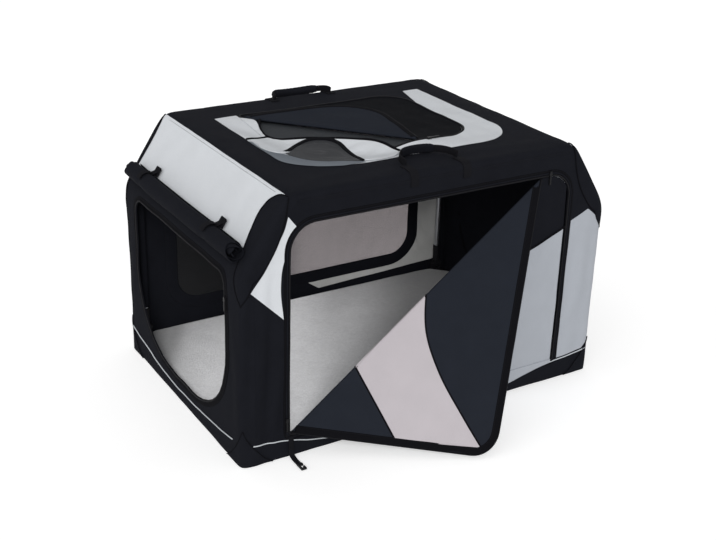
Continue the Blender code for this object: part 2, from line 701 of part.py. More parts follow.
def roof_hatch():
    """The hatch's cover in two parts, the mesh under it, and the mesh's own loose corner."""
    inside = hatch_outline(-EDGE_GAP)
    back, front = HATCH_CREASE_BACK.xy, HATCH_CREASE_FRONT.xy
    still = slab_mesh(clip(inside, back, front, CLOTH_GAP), ROOF_PLANE, -PANEL, 0)
    add_object("hatch_cover_fixed", still, black_cloth())
    turn = Matrix.Rotation(math.radians(HATCH_OPEN_DEG), 4, HATCH_CREASE_BACK - HATCH_CREASE_FRONT)
    empty = joint_empty("hatch_flap_axis", HATCH_CREASE_BACK, turn)
    flap = slab_mesh(clip(inside, front, back, CLOTH_GAP), ROOF_PLANE, -PANEL, 0)
    add_object("hatch_cover_flap", flap, black_cloth(), empty, HATCH_CREASE_BACK)
    high = -PANEL - SEAM_GAP
    low = high - MESH_CLOTH
    band = clip(hatch_outline(HATCH_MESH_LAP), back, front, -HATCH_MESH_BAND)
    add_object("hatch_mesh", slab_mesh(band, ROOF_PLANE, low, high), mesh_cloth())
    mesh_flap(low, high)


def mesh_flap(low, high):
    """Half-round corner of the mesh: a straight sewn edge, and an elliptical free edge towards the crease."""
    left, right = Vector(MESH_FLAP_LEFT), Vector(MESH_FLAP_RIGHT)
    middle, along = (left + right) / 2, (right - left) / 2
    deep = Vector((-along.y, along.x)).normalized() * MESH_FLAP_DEPTH
    steps = 14
    arc = [tuple(middle + along * math.cos(math.pi * i / steps) + deep * math.sin(math.pi * i / steps))
           for i in range(steps + 1)]
    at = (left.x, left.y, HEIGHT + (low + high) / 2)
    empty = joint_empty("hatch_mesh_flap_axis", at)
    add_object("hatch_mesh_flap", slab_mesh(arc, ROOF_PLANE, low, high), mesh_cloth(), empty, at)


def rear_window():
    inner_face = -PANEL + SEAM_GAP
    mesh = slab_mesh(window_outline(-CLOTH_GAP), REAR_PLANE, inner_face, inner_face + MESH_CLOTH)
    add_object("rear_window_mesh", mesh, mesh_cloth())
    cover = slab_mesh(window_outline(WINDOW_COVER_LAP), REAR_PLANE, SEAM_GAP, SEAM_GAP + PANEL)
    add_object("rear_window_cover", cover, black_cloth())


def right_end_door():
    door = slab_mesh(end_outline(-EDGE_GAP), RIGHT_PLANE, -PANEL, 0)
    add_object("right_end_door", door, black_cloth())


def roll_centre():
    """Middle of the roll: a little way up the left slope, resting on it."""
    up = Vector((math.sin(SLOPE_ANGLE), 0, math.cos(SLOPE_ANGLE)))
    out = Vector((-math.cos(SLOPE_ANGLE), 0, math.sin(SLOPE_ANGLE)))
    knee = Vector((-HALF_LENGTH, 0, KNEE_HEIGHT))
    return knee + up * ROLL_UP_SLOPE + out * (ROLL_RADIUS + ROLL_GAP), up, out


def rolled_end_door():
    """The left end's door, rolled up and held by two straps with toggles."""
    centre, up, out = roll_centre()
    half = Vector((0, ROLL_HALF, 0))
    roll = cylinder_mesh(centre - half, centre + half, ROLL_RADIUS, 24, ROLL_RADIUS / 6)
    add_object("rolled_end_door", roll, black_cloth())
    reach = ROLL_RADIUS + CLOTH_GAP + STRAP / 2
    sewn = -ROLL_RADIUS - ROLL_GAP + CLOTH_GAP + STRAP / 2
    for name, y in (("front", TOGGLE_FRONT_Y), ("rear", TOGGLE_REAR_Y)):
        middle = centre + Vector((0, y, 0))
        path = [middle - up * reach + out * (sewn + STRAP)]
        steps = 12
        for step in range(steps + 1):
            angle = math.pi * (step / steps - 0.5)
            path.append(middle + out * (reach * math.cos(angle)) + up * (reach * math.sin(angle)))
        path.append(middle + up * reach + out * (sewn + STRAP))
        path.append(middle + up * (reach + STRAP) + out * sewn)
        path.append(middle + up * (reach + TOGGLE_TAB) + out * sewn)
        strap = bar_mesh(path, box_section(STRAP_WIDTH / 2, STRAP / 2), (0, 1, 0))
        toggle = add_object("roll_toggle_" + name, strap, black_plastic())
        bar_at = path[-1] + out * (TOGGLE_RADIUS - STRAP / 2)
        half_bar = Vector((0, TOGGLE_HALF, 0))
        bar = cylinder_mesh(bar_at - half_bar, bar_at + half_bar, TOGGLE_RADIUS, 12)
        boolean(toggle, hidden_cutter("toggle_bar_" + name, bar), "UNION")


def piping_path():
    """Round the base, just outside the walls: low along each side and rising to the corners."""
    far_x = HALF_LENGTH + 2 * SEAM_GAP + PIPING_RADIUS
    far_y = HALF_WIDTH + 2 * SEAM_GAP + PIPING_RADIUS
    outline = box_outline(-far_x, far_x, -far_y, far_y, PIPING_CORNER, steps=3)
    dense = []
    for index, point in enumerate(outline):
        start, end = Vector(outline[index - 1]), Vector(point)
        pieces = 12 if (end - start).length > PIPING_CORNER * 2 else 1
        dense += [start.lerp(end, step / pieces) for step in range(pieces)]
    path = []
    for point in dense:
        away = min(1.0, math.hypot(HALF_LENGTH - abs(point.x), HALF_WIDTH - abs(point.y)) / PIPING_SWEEP)
        rise = 0.5 + 0.5 * math.cos(math.pi * away)
        path.append(Vector((point.x, point.y, PIPING_LOW + (PIPING_HIGH - PIPING_LOW) * rise)))
    return path


def reflective_piping():
    bm = bmesh.new()
    sweep_rings(bm, piping_path(), circle_section(PIPING_RADIUS, 6), Vector((0, 0, 1)), True)
    bmesh.ops.recalc_face_normals(bm, faces=bm.faces)
    add_object("reflective_piping", bm, piping_cloth())


# Floor
def floor_panel():
    """Stiff board on the corner brackets, notched round their hinge columns."""
    far_x, far_y = INSIDE_X - FLOOR_MARGIN, INSIDE_Y - FLOOR_MARGIN
    notch_x = REAR_POST_X - EAR_HALF - FLOOR_MARGIN
    notch_y = PIVOT_Y - EAR_RADIUS - FLOOR_MARGIN
    outline = [(-far_x, -notch_y), (-notch_x, -notch_y), (-notch_x, -far_y), (notch_x, -far_y),
               (notch_x, -notch_y), (far_x, -notch_y), (far_x, notch_y), (notch_x, notch_y), (notch_x, far_y),
               (-notch_x, far_y), (-notch_x, notch_y), (-far_x, notch_y)]
    add_object("floor_panel", slab_mesh(outline, GROUND_PLANE, FLOOR_Z, FLOOR_Z + FLOOR_BOARD), black_cloth())


def fleece_mat():
    """Loose pad on the floor board, with its corners cut away round the hinge columns."""
    far_x, far_y = INSIDE_X - MAT_MARGIN, INSIDE_Y - MAT_MARGIN
    notch_x = REAR_POST_X - EAR_HALF - MAT_MARGIN
    notch_y = PIVOT_Y - EAR_RADIUS - MAT_MARGIN
    cut_y = notch_y - (far_x - notch_x)
    cut_x = notch_x - (far_y - notch_y)
    corners = [(far_x, -cut_y), (far_x, cut_y), (cut_x, far_y), (-cut_x, far_y), (-far_x, cut_y),
               (-far_x, -cut_y), (-cut_x, -far_y), (cut_x, -far_y)]
    outline = rounded_outline([(x, y, MAT_CORNER) for x, y in corners], 3)
    add_object("fleece_mat", slab_mesh(outline, GROUND_PLANE, MAT_Z, MAT_Z + MAT_THICKNESS), fleece())


# Carry handles
def handle_path(stretch, steps=20):
    """A loop of webbing in its own plane: u along the crate, v away from its sewn edge; stretch trims it."""
    path = []
    for step in range(steps + 1):
        angle = math.pi * (0.5 - stretch) + 2 * math.pi * stretch * step / steps
        reach = HANDLE_REACH * math.sin(angle) ** HANDLE_FULLNESS
        path.append(Vector((-HANDLE_HALF * math.cos(angle), reach, 0)))
    return path


def carry_handle(name, side_y, lean_deg):
    """Webbing loop and its wrap; lean is the angle above the roof, counted from the middle of the crate."""
    at = Vector((0, side_y * (HALF_WIDTH - HANDLE_EDGE), HEIGHT + HANDLE_WIDTH / 2 + SEAM_GAP))
    inward = -side_y
    lean = math.radians(lean_deg)
    away = Vector((0, inward * math.cos(lean), math.sin(lean)))
    across = Vector((1, 0, 0))
    normal = across.cross(away)
    empty = joint_empty(name + "_axis", at)
    half_strap = HANDLE_STRAP / 2
    paths = [[at + across * point.x + away * point.y for point in handle_path(stretch)] for stretch in
             (0.5, WRAP_HALF_SPAN / 2)]
    strap = bar_mesh(paths[0], box_section(HANDLE_WIDTH / 2, half_strap), normal)
    add_object(name, strap, webbing(), empty, at)
    inner = box_section(HANDLE_WIDTH / 2 + TUBE_FIT, half_strap + TUBE_FIT)
    outer = box_section(HANDLE_WIDTH / 2 + WRAP_THICK, half_strap + WRAP_THICK)
    wrap = pipe_mesh(paths[1], outer, inner, normal)
    add_object(name + "_wrap", wrap, webbing(), empty, at)


# Zip sliders
def slider_outline():
    """A slider's body with its pull tab lying along the zip, drawn from the body's middle towards -u."""
    half, wide = SLIDER_LENGTH / 2, SLIDER_WIDTH / 2
    tab = TAB_WIDTH / 2
    nose = wide * SLIDER_NOSE
    return [(half, -nose), (half, nose), (-half, wide), (-half, tab), (-half - TAB_LENGTH, tab),
            (-half - TAB_LENGTH, -tab), (-half, -tab), (-half, -wide)]


def zip_slider(name, frame, at_uv, heading_deg):
    """A slider on top of a zip tape; heading turns its tab in the panel's plane."""
    low = 2 * SEAM_GAP + TAPE
    local = frame @ Matrix.Translation((*at_uv, 0)) @ Matrix.Rotation(math.radians(heading_deg), 4, "Z")
    at = local @ Vector((0, 0, low))
    empty = joint_empty(name + "_axis", at)
    outline = list(reversed(slider_outline()))
    add_object(name, slab_mesh(outline, local, low, low + SLIDER_THICK), steel(), empty, at)


def zip_sliders():
    edge = (EDGE_GAP + TAPE_WIDTH) / 2
    top_start = CREASE_TOP_X + 2 * SLIDER_LENGTH
    hatch_start = HATCH_CREASE_FRONT_X + 2 * SLIDER_LENGTH
    zip_slider("front_zip_slider_top", FRONT_PLANE, (top_start, DOOR_TOP + edge), 90)
    zip_slider("front_zip_slider_side", FRONT_PLANE, (-DOOR_HALF - edge, DOOR_BOTTOM + 4 * SLIDER_LENGTH), 90)
    zip_slider("hatch_zip_slider", ROOF_PLANE, (hatch_start, HATCH_FRONT - edge), 180)
    zip_slider("end_zip_slider", LEFT_PLANE, (END_HALF + edge, END_TOP - END_TOP_CORNER - SLIDER_LENGTH), 90)


# Tether
def tether():
    """A short webbing strap sewn low on the front wall, ending in a plastic hook that lies on the ground."""
    wall = -HALF_WIDTH - TAPE - 3 * SEAM_GAP - STRAP
    low = GROUND_GAP + STRAP / 2
    at = Vector((TETHER_X, wall, TETHER_TOP))
    empty = joint_empty("tether_axis", at)
    path = rounded_path([(TETHER_X, wall, TETHER_TOP, 0), (TETHER_X, wall, low, TETHER_BEND),
                         (TETHER_X, wall - TETHER_REACH, low, 0)], 4)
    strap = bar_mesh(path, box_section(TETHER_WIDTH / 2, STRAP / 2), (1, 0, 0))
    add_object("tether_strap", strap, webbing(), empty, at)
    start = wall - TETHER_REACH - RUN_GAP
    half = TETHER_WIDTH / 2
    slot = half * HOOK_SLOT_HALF
    barb, far, near = (start - HOOK_LENGTH * share for share in (HOOK_BARB, HOOK_SLOT_FAR, HOOK_SLOT_NEAR))
    local = [(-half, start), (-half, start - HOOK_LENGTH), (half, start - HOOK_LENGTH), (half, barb),
             (slot, barb), (slot, far), (-slot, far), (-slot, near), (half, near), (half, start)]
    outline = [(TETHER_X + x, y) for x, y in local]
    hook = slab_mesh(outline, GROUND_PLANE, GROUND_GAP, GROUND_GAP + HOOK_THICK)
    add_object("tether_hook", hook, black_plastic(), empty, at)


def build():
    for old in list(bpy.data.objects):
        bpy.data.objects.remove(old, do_unlink=True)
    walls()
    zip_tapes()
    side_door()
    roof_hatch()
    rear_window()
    right_end_door()
    rolled_end_door()
    reflective_piping()
    floor_panel()
    fleece_mat()
    base_tubes()
    for side_x in (-1, 1):
        for side_y in (-1, 1):
            corner_bracket(side_x, side_y)
            hinge_pin(side_x, side_y)
            lock_button(side_x, side_y)
    arch("front", -1, 0.0)
    arch("rear", 1, NEST)
    carry_handle("front_handle", -1, HANDLE_FRONT_DEG)
    carry_handle("rear_handle", 1, HANDLE_REAR_DEG)
    zip_sliders()
    tether()


build()
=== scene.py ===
"""Looks of a soft folding pet crate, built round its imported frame.

A sewn cover lies over two steel arches: softened panels, sewn-on coloured panels, bound edges, zips, and a mat.
Everything is in metres. X runs along the crate, the big side door is at -Y, and Z is up.
"""
import math

import bmesh
import bpy
import numpy as np
from mathutils import Matrix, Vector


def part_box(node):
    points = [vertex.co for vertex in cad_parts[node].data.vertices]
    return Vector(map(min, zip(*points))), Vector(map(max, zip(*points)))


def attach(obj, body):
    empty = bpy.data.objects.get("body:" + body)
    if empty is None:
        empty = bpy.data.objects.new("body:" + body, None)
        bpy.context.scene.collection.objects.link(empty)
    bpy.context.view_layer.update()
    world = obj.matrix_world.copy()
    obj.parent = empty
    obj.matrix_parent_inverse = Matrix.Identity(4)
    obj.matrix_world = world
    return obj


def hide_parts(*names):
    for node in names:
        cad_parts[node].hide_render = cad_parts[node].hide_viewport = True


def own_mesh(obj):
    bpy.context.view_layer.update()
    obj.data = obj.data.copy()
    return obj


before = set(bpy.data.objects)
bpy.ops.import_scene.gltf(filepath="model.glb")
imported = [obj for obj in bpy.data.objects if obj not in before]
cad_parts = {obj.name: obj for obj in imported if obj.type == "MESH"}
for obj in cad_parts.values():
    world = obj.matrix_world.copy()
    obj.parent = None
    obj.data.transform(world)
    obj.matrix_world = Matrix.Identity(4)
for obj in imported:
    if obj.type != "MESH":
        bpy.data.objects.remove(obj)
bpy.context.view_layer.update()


def unit(vectors):
    return vectors / np.linalg.norm(vectors, axis=-1, keepdims=True)


# Sizes of the shell, from the frame where it has them
HALF_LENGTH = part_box("front_wall")[1].x
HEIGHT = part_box("front_wall")[1].z
HALF_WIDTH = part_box("rear_wall")[1].y
KNEE = 0.42
HALF_ROOF = 0.3515
SLOPE_RUN = HALF_LENGTH - HALF_ROOF
SLOPE_RISE = HEIGHT - KNEE
SLOPE_LENGTH = math.hypot(SLOPE_RUN, SLOPE_RISE)
SLOPE_SIN = SLOPE_RUN / SLOPE_LENGTH
SLOPE_COS = SLOPE_RISE / SLOPE_LENGTH

# Cloth: its thickness, how far a sewn-on layer and a tape stand out, and a cloth's gap to the rim it fills
CLOTH = 0.0012
FLAP_CLOTH = 0.0016
LAYER = 0.0009
LAYER_CLOTH = LAYER + 0.0004
TRIM = 0.0011
RIM_GAP = 0.001
EDGE_SHARPNESS = 165.0

# Openings, as the frame has them: corners (u, v, radius), anticlockwise from the lower left one
DOOR = ((-0.345, 0.053, 0.006), (0.345, 0.053, 0.006), (0.345, 0.515, 0.055), (-0.345, 0.515, 0.055))
END = ((-0.235, 0.057, 0.18), (0.235, 0.057, 0.18), (0.235, 0.408, 0.03), (-0.235, 0.408, 0.03))
WINDOW = ((-0.333, 0.10, 0.055), (0.333, 0.10, 0.055), (0.333, 0.50, 0.055), (-0.333, 0.50, 0.055))
HATCH = ((-0.213, -0.13, 0.12), (0.208, -0.13, 0.07), (0.208, 0.197, 0.07), (-0.213, 0.197, 0.012))
BAND_IN = ((-0.219, -0.136, 0.126), (0.214, -0.136, 0.076), (0.214, 0.212, 0.001), (-0.219, 0.200, 0.001))
BAND_OUT = ((-0.272, -0.204, 0.150), (0.280, -0.204, 0.100), (0.280, 0.212, 0.001), (-0.272, 0.200, 0.001))
DOOR_LEFT, DOOR_LOW = DOOR[0][:2]
DOOR_RIGHT, DOOR_HIGH = DOOR[2][:2]

# Creases that the door and the hatch are turned over along, from foot to top
DOOR_CREASE = ((-0.345, 0.053), (0.268, 0.515))
DOOR_TURN = math.radians(141)
HATCH_CREASE = np.array([(0.062, -0.13), (-0.213, 0.180)])
HATCH_TURN = math.radians(172)
HATCH_FOOT, HATCH_TOP = HATCH_CREASE
HATCH_AWAY = unit(np.array([HATCH_FOOT[1] - HATCH_TOP[1], HATCH_TOP[0] - HATCH_FOOT[0]]))

WALL_CORNERS = ((-HALF_LENGTH, 0.0), (HALF_LENGTH, 0.0), (HALF_LENGTH, KNEE), (HALF_ROOF, HEIGHT),
                (-HALF_ROOF, HEIGHT), (-HALF_LENGTH, KNEE))
END_CORNERS = ((-HALF_WIDTH, 0.0), (HALF_WIDTH, 0.0), (HALF_WIDTH, KNEE), (-HALF_WIDTH, KNEE))
ROOF_CORNERS = ((-HALF_ROOF, -HALF_WIDTH), (HALF_ROOF, -HALF_WIDTH), (HALF_ROOF, HALF_WIDTH),
                (-HALF_ROOF, HALF_WIDTH))
SIDES = ((-1, "left"), (1, "right"))
FACES = ((-1, "front"), (1, "rear"))


class Surface:
    """Something that cloth lies on. Its place(uv, lift) gives the points that are lift above it at (u, v)."""

    def cloth(self, name, uv, lift=0.0, thick=CLOTH, wrap=False, puff=0.0):
        """Piece of cloth from a grid of (u, v), with its outer face lift above the surface; puff adds to that."""
        return skin(name, self.place(uv, lift + puff), self.place(uv, lift - thick), uv, wrap)


class Panel(Surface):
    """A flat side of the shell: its point (u, v) is origin + u * across + v * up."""

    def __init__(self, origin, across, up):
        self.origin = np.array(origin, float)
        self.across = np.array(across, float)
        self.up = np.array(up, float)
        self.out = np.cross(self.across, self.up)

    def at(self, uv):
        return self.origin + uv[..., :1] * self.across + uv[..., 1:2] * self.up

    def place(self, uv, lift):
        return drape(self.at(uv), lift)


FRONT = Panel((0, -HALF_WIDTH, 0), (1, 0, 0), (0, 0, 1))
REAR = Panel((0, HALF_WIDTH, 0), (-1, 0, 0), (0, 0, 1))
LEFT = Panel((-HALF_LENGTH, 0, 0), (0, -1, 0), (0, 0, 1))
RIGHT = Panel((HALF_LENGTH, 0, 0), (0, 1, 0), (0, 0, 1))
ROOF = Panel((0, 0, HEIGHT), (1, 0, 0), (0, 1, 0))
LEFT_SLOPE = Panel((-HALF_LENGTH, 0, KNEE), (0, -1, 0), (SLOPE_SIN, 0, SLOPE_COS))
RIGHT_SLOPE = Panel((HALF_LENGTH, 0, KNEE), (0, 1, 0), (-SLOPE_SIN, 0, SLOPE_COS))
SHELL = (FRONT, REAR, LEFT, RIGHT, ROOF, LEFT_SLOPE, RIGHT_SLOPE)
NORMALS = np.array([panel.out for panel in SHELL])
OFFSETS = np.array([panel.origin @ panel.out for panel in SHELL])

# How far each panel's middle hangs in: the panel, its u and v limits, and the depth
SAGS = (
    (ROOF, -HALF_ROOF, HALF_ROOF, -HALF_WIDTH, HALF_WIDTH, 0.007),
    (LEFT_SLOPE, -HALF_WIDTH, HALF_WIDTH, 0.0, SLOPE_LENGTH, 0.005),
    (RIGHT_SLOPE, -HALF_WIDTH, HALF_WIDTH, 0.0, SLOPE_LENGTH, 0.005),
    (LEFT, -HALF_WIDTH, HALF_WIDTH, 0.0, KNEE, 0.004),
    (RIGHT, -HALF_WIDTH, HALF_WIDTH, 0.0, KNEE, 0.006),
    (FRONT, -HALF_LENGTH, HALF_LENGTH, 0.0, HEIGHT, 0.002),
    (REAR, -HALF_LENGTH, HALF_LENGTH, 0.0, HEIGHT, 0.004),
)
# Over what distance behind a panel its sag and droop fade out, and how near the hatch's crease the cloth lies flat
FADE_BEHIND = 0.01
FLAT_BY_CREASE = 0.045
# The unzipped corner of the roof hangs in: how deep, and over what distances inside the light band's outer edge and
# from the hatch's crease
DROOP_DEPTH = 0.014
DROOP_CORNER = (-0.122, -0.054, 0.150)
DROOP_INSIDE = (-0.005, 0.085)
DROOP_FROM_CREASE = (0.015, 0.105)

# Folds: middle, direction that the fold runs in, wavelength, reach along and across, height
FOLDS = (
    ((-0.415, -0.305, 0.20), (0.05, 0.0, 1.0), 0.030, 0.16, 0.045, 0.0030),
    ((-0.375, -0.305, 0.14), (0.10, 0.0, 1.0), 0.024, 0.10, 0.030, 0.0022),
    ((-0.402, -0.305, 0.24), (0.02, 0.0, 1.0), 0.014, 0.12, 0.020, 0.0009),
    ((-0.395, -0.305, 0.10), (0.35, 0.0, 1.0), 0.036, 0.09, 0.05, 0.0010),
    ((-0.440, -0.305, 0.38), (0.30, 0.0, 1.0), 0.022, 0.05, 0.03, 0.0009),
    ((-0.455, -0.270, 0.30), (0.0, 0.1, 1.0), 0.026, 0.14, 0.03, 0.0016),
    ((-0.455, 0.270, 0.22), (0.0, -0.1, 1.0), 0.028, 0.16, 0.03, 0.0009),
    ((0.40, -0.305, 0.22), (0.05, 0.0, 1.0), 0.040, 0.14, 0.05, 0.0020),
    ((0.43, -0.305, 0.16), (-0.18, 0.0, 1.0), 0.050, 0.12, 0.04, 0.0014),
    ((-0.20, -0.24, 0.58), (1.0, 0.25, 0.0), 0.045, 0.16, 0.05, 0.0010),
    ((0.20, -0.25, 0.58), (1.0, -0.1, 0.0), 0.040, 0.20, 0.05, 0.0008),
    ((0.30, 0.05, 0.58), (0.1, 1.0, 0.0), 0.045, 0.20, 0.05, 0.0009),
    ((-0.31, 0.05, 0.58), (0.1, 1.0, 0.0), 0.040, 0.22, 0.04, 0.0008),
    ((-0.40, 0.05, 0.51), (0.35, 1.0, 0.45), 0.060, 0.20, 0.07, 0.0013),
    ((-0.41, -0.10, 0.48), (-0.2, 1.0, -0.3), 0.050, 0.14, 0.05, 0.0011),
)
WAVE_COUNT = 26
WAVE_HEIGHT = 0.00011


def smooth_bump(value, low, high):
    """A hump of height 1 that is 0, with no slope, at low and high: (1 - t squared) squared."""
    t = (2 * value - low - high) / (high - low)
    return np.clip(1 - t * t, 0, 1) ** 2


def eased(value, low, high):
    """0 below low and 1 above high, with 3t^2 - 2t^3 between them."""
    t = np.clip((value - low) / (high - low), 0, 1)
    return t * t * (3 - 2 * t)


def waves(points, seed, count, low, high):
    """Sum of count sines with seeded directions and wavelengths from low to high. A (u, v) becomes (u, v, u)."""
    if points.shape[-1] == 2:
        points = np.concatenate([points, points[..., :1]], -1)
    rng = np.random.default_rng(seed)
    total = np.zeros(points.shape[:-1])
    for _ in range(count):
        direction = unit(rng.normal(size=3))
        length = rng.uniform(low, high)
        total += np.sin(points @ direction * 2 * math.pi / length + rng.uniform(0, 2 * math.pi))
    return total


def slack(points):
    """How far the cloth stands out (+) or hangs in (-) at points of the sharp shell.

    It is small waves, less each panel's sag, all fading to flat at the hatch's crease, less the unzipped corner's
    droop, plus the folds: each a cosine across its run under a Gaussian."""
    total = WAVE_HEIGHT * waves(points, 3, WAVE_COUNT, 0.04, 0.16)
    for panel, left, right, low, high, depth in SAGS:
        local = points - panel.origin
        on_panel = np.clip(1 + (local @ panel.out) / FADE_BEHIND, 0, 1)
        hump = smooth_bump(local @ panel.across, left, right) * smooth_bump(local @ panel.up, low, high)
        total -= depth * hump * on_panel
    on_roof = np.clip(1 + (points[..., 2] - HEIGHT) / FADE_BEHIND, 0, 1)
    from_crease = (points[..., :2] - HATCH_FOOT) @ HATCH_AWAY
    total = total * (1 - on_roof * np.exp(-(from_crease / FLAT_BY_CREASE) ** 2))
    gap = np.stack([DROOP_CORNER[0] - points[..., 0], DROOP_CORNER[1] - points[..., 1]], -1)
    inside = DROOP_CORNER[2] - np.linalg.norm(np.maximum(gap, 0), axis=-1)
    total -= DROOP_DEPTH * on_roof * eased(inside, *DROOP_INSIDE) * eased(from_crease, *DROOP_FROM_CREASE)
    for middle, direction, length, reach, spread, height in FOLDS:
        local = points - np.array(middle)
        along = unit(np.array(direction))
        run = local @ along
        rest = np.linalg.norm(local - run[..., None] * along, axis=-1)
        side = local @ np.cross(along, (0.48, 0.60, 0.64))
        total += height * np.cos(2 * math.pi * side / length) * np.exp(-(run / reach) ** 2 - (rest / spread) ** 2)
    return total


def soften(points):
    """Pull points of the sharp shell in to the level set of a smooth maximum of the panels' distances.

    The smooth maximum is log(sum(exp(k * distance))) / k, so edges and corners come out rounded. The second
    result is its gradient, the cloth's outward normal."""
    placed = points.copy()
    for _ in range(4):
        away = placed @ NORMALS.T - OFFSETS
        top = away.max(-1, keepdims=True)
        weight = np.exp(EDGE_SHARPNESS * (away - top))
        total = weight.sum(-1, keepdims=True)
        level = top + np.log(total) / EDGE_SHARPNESS
        slope = (weight / total) @ NORMALS
        placed = placed - slope * level / (slope ** 2).sum(-1, keepdims=True)
    return placed, unit(slope)


def drape(base, lift):
    """Place points of the sharp shell on the softened, slack cloth, lift above it along its normal."""
    placed, normal = soften(base)
    return placed + normal * (slack(base) + lift)[..., None]


# Outlines and curves in a panel. Closed loops of (u, v) go anticlockwise.
def rounded(corners, grow=0.0, arc_steps=10, side_steps=26):
    """Polygon (u, v, radius) moved out by grow, each corner an arc and each side cut into equal steps."""
    uv = np.array([corner[:2] for corner in corners], float)
    radius = np.array([corner[2] + grow for corner in corners])
    ahead = unit(np.roll(uv, -1, 0) - uv)
    behind = np.roll(ahead, 1, 0)
    out_ahead = np.stack([ahead[:, 1], -ahead[:, 0]], 1)
    out_behind = np.roll(out_ahead, 1, 0)
    miter = (out_ahead + out_behind) / (1 + (out_ahead * out_behind).sum(1, keepdims=True))
    centre = uv + miter * (grow - radius[:, None])
    turn = np.arctan2(behind[:, 0] * ahead[:, 1] - behind[:, 1] * ahead[:, 0], (behind * ahead).sum(1))
    start = np.arctan2(out_behind[:, 1], out_behind[:, 0])
    angle = start[:, None] + turn[:, None] * np.linspace(0, 1, arc_steps + 1)
    arcs = centre[:, None] + radius[:, None, None] * np.stack([np.cos(angle), np.sin(angle)], -1)
    share = np.linspace(0, 1, side_steps + 1)[1:-1, None]
    sides = arcs[:, -1][:, None] * (1 - share) + np.roll(arcs[:, 0], -1, 0)[:, None] * share
    return np.concatenate([arcs, sides], 1).reshape(-1, 2)


def smooth_through(knots, values, at):
    """Cubic curve through values at knots, with the slope at each knot that its two neighbours give."""
    knots, values = np.array(knots, float), np.array(values, float)
    slope = np.gradient(values, knots, axis=0)
    index = np.clip(np.searchsorted(knots, at) - 1, 0, len(knots) - 2)
    width = knots[index + 1] - knots[index]
    t = (at - knots[index]) / width
    if values.ndim > 1:
        t, width = t[..., None], width[..., None]
    a = (1 + 2 * t) * (1 - t) ** 2 * values[index] + t * (1 - t) ** 2 * width * slope[index]
    return a + t * t * (3 - 2 * t) * values[index + 1] - t * t * (1 - t) * width * slope[index + 1]


def run_along(points):
    """Distance along a polyline at each of its points, or the mean of it over polylines side by side."""
    lengths = np.linalg.norm(np.diff(points, axis=0), axis=-1)
    return np.concatenate([[0], np.cumsum(lengths if lengths.ndim == 1 else lengths.mean(1))])


def through(points, count):
    """Smooth curve of count points through a few given ones, evenly paced by their distances."""
    points = np.array(points, float)
    knots = run_along(points)
    return smooth_through(knots, points, np.linspace(0, knots[-1], count))


def points_at(points, at):
    """Points of a polyline at distances along it."""
    run = run_along(points)
    return np.stack([np.interp(at, run, column) for column in points.T], -1)


def evenly(points, count):
    """Resample a polyline at even distances along it."""
    return points_at(points, np.linspace(0, run_along(points)[-1], count))


def closed_up(loop):
    return np.concatenate([loop, loop[:1]])


def loop_part(loop, start, end, count):
    """Even points of a closed loop, anticlockwise from start to end, which both lie on it."""
    first = np.linalg.norm(loop - start, axis=1).argmin()
    last = np.linalg.norm(loop - end, axis=1).argmin()
    order = (first + np.arange((last - first) % len(loop) + 1)) % len(loop)
    return evenly(np.concatenate([[start], loop[order][1:-1], [end]]), count)


def steps(low, high, count, *extra):
    """Even values from low to high, and the extra ones among them."""
    return np.unique(np.concatenate([np.linspace(low, high, count), extra]))


def crowded(low, high, count, power=2.0):
    """Values from low to high that gather at both ends."""
    t = np.linspace(-1, 1, count)
    gathered = np.sign(t) * (1 - (1 - np.abs(t)) ** power)
    return low + (high - low) * (gathered + 1) / 2


# Grids of (u, v)
def between(first, second, count, power=1.0):
    """Grid of straight rows from each point of one curve to the same point of another, share ** power of the way."""
    share = np.linspace(0, 1, count)[:, None] ** power
    return first[:, None] * (1 - share) + second[:, None] * share


def level(x, height):
    """Curve (x, height), where the height may be one number."""
    return np.stack(np.broadcast_arrays(x, height), 1)


def upright(x, low, high, count, power=1.0):
    """Grid of upright rows at each x, from low to high."""
    return between(level(x, low), level(x, high), count, power)


def grid_of(u, v):
    return np.stack(np.meshgrid(u, v, indexing="ij"), -1)


def filled(loop):
    """Grid that fills a loop, from its rim to near its middle."""
    middle = loop.mean(0)
    return middle + (loop[:, None] - middle) * np.linspace(1, 0.002, 26)[None, :, None]


def ring_grid(inner, corners):
    """Grid from a closed inner loop out to a convex polygon, along rays from the loop's middle.

    A ray's reach is the least of its distances to the polygon's sides, and the rows gather near the polygon."""
    corners = np.array(corners, float)
    middle = (inner.min(0) + inner.max(0)) / 2
    local = inner - middle
    inner_angle = np.arctan2(local[:, 1], local[:, 0])
    inner_reach = np.linalg.norm(local, axis=1)
    order = np.argsort(inner_angle)
    corner_angle = np.arctan2(corners[:, 1] - middle[1], corners[:, 0] - middle[0])
    angles = np.unique(np.round(np.concatenate([inner_angle, corner_angle]), 5))
    near = np.interp(angles, inner_angle[order], inner_reach[order], period=2 * math.pi)
    ray = np.stack([np.cos(angles), np.sin(angles)], 1)
    side = np.roll(corners, -1, 0) - corners
    out = unit(np.stack([side[:, 1], -side[:, 0]], 1))
    facing = ray @ out.T
    gap = ((corners - middle) * out).sum(1)
    far = np.where(facing > 1e-9, gap / np.maximum(facing, 1e-9), np.inf).min(1)
    share = 1 - (1 - np.linspace(0, 1, 26)) ** 2.0
    reach = near[:, None] * (1 - share) + far[:, None] * share
    return middle + ray[:, None] * reach[..., None]


# Meshes
SHARP_ANGLE = math.radians(40)
# Each cloth's flat width, length and area, and how many quads its outer face has
CUTS = {}


def in_scene(name, data):
    """New object for a mesh, a lamp or a camera."""
    made = bpy.data.objects.new(name, data)
    bpy.context.scene.collection.objects.link(made)
    return made


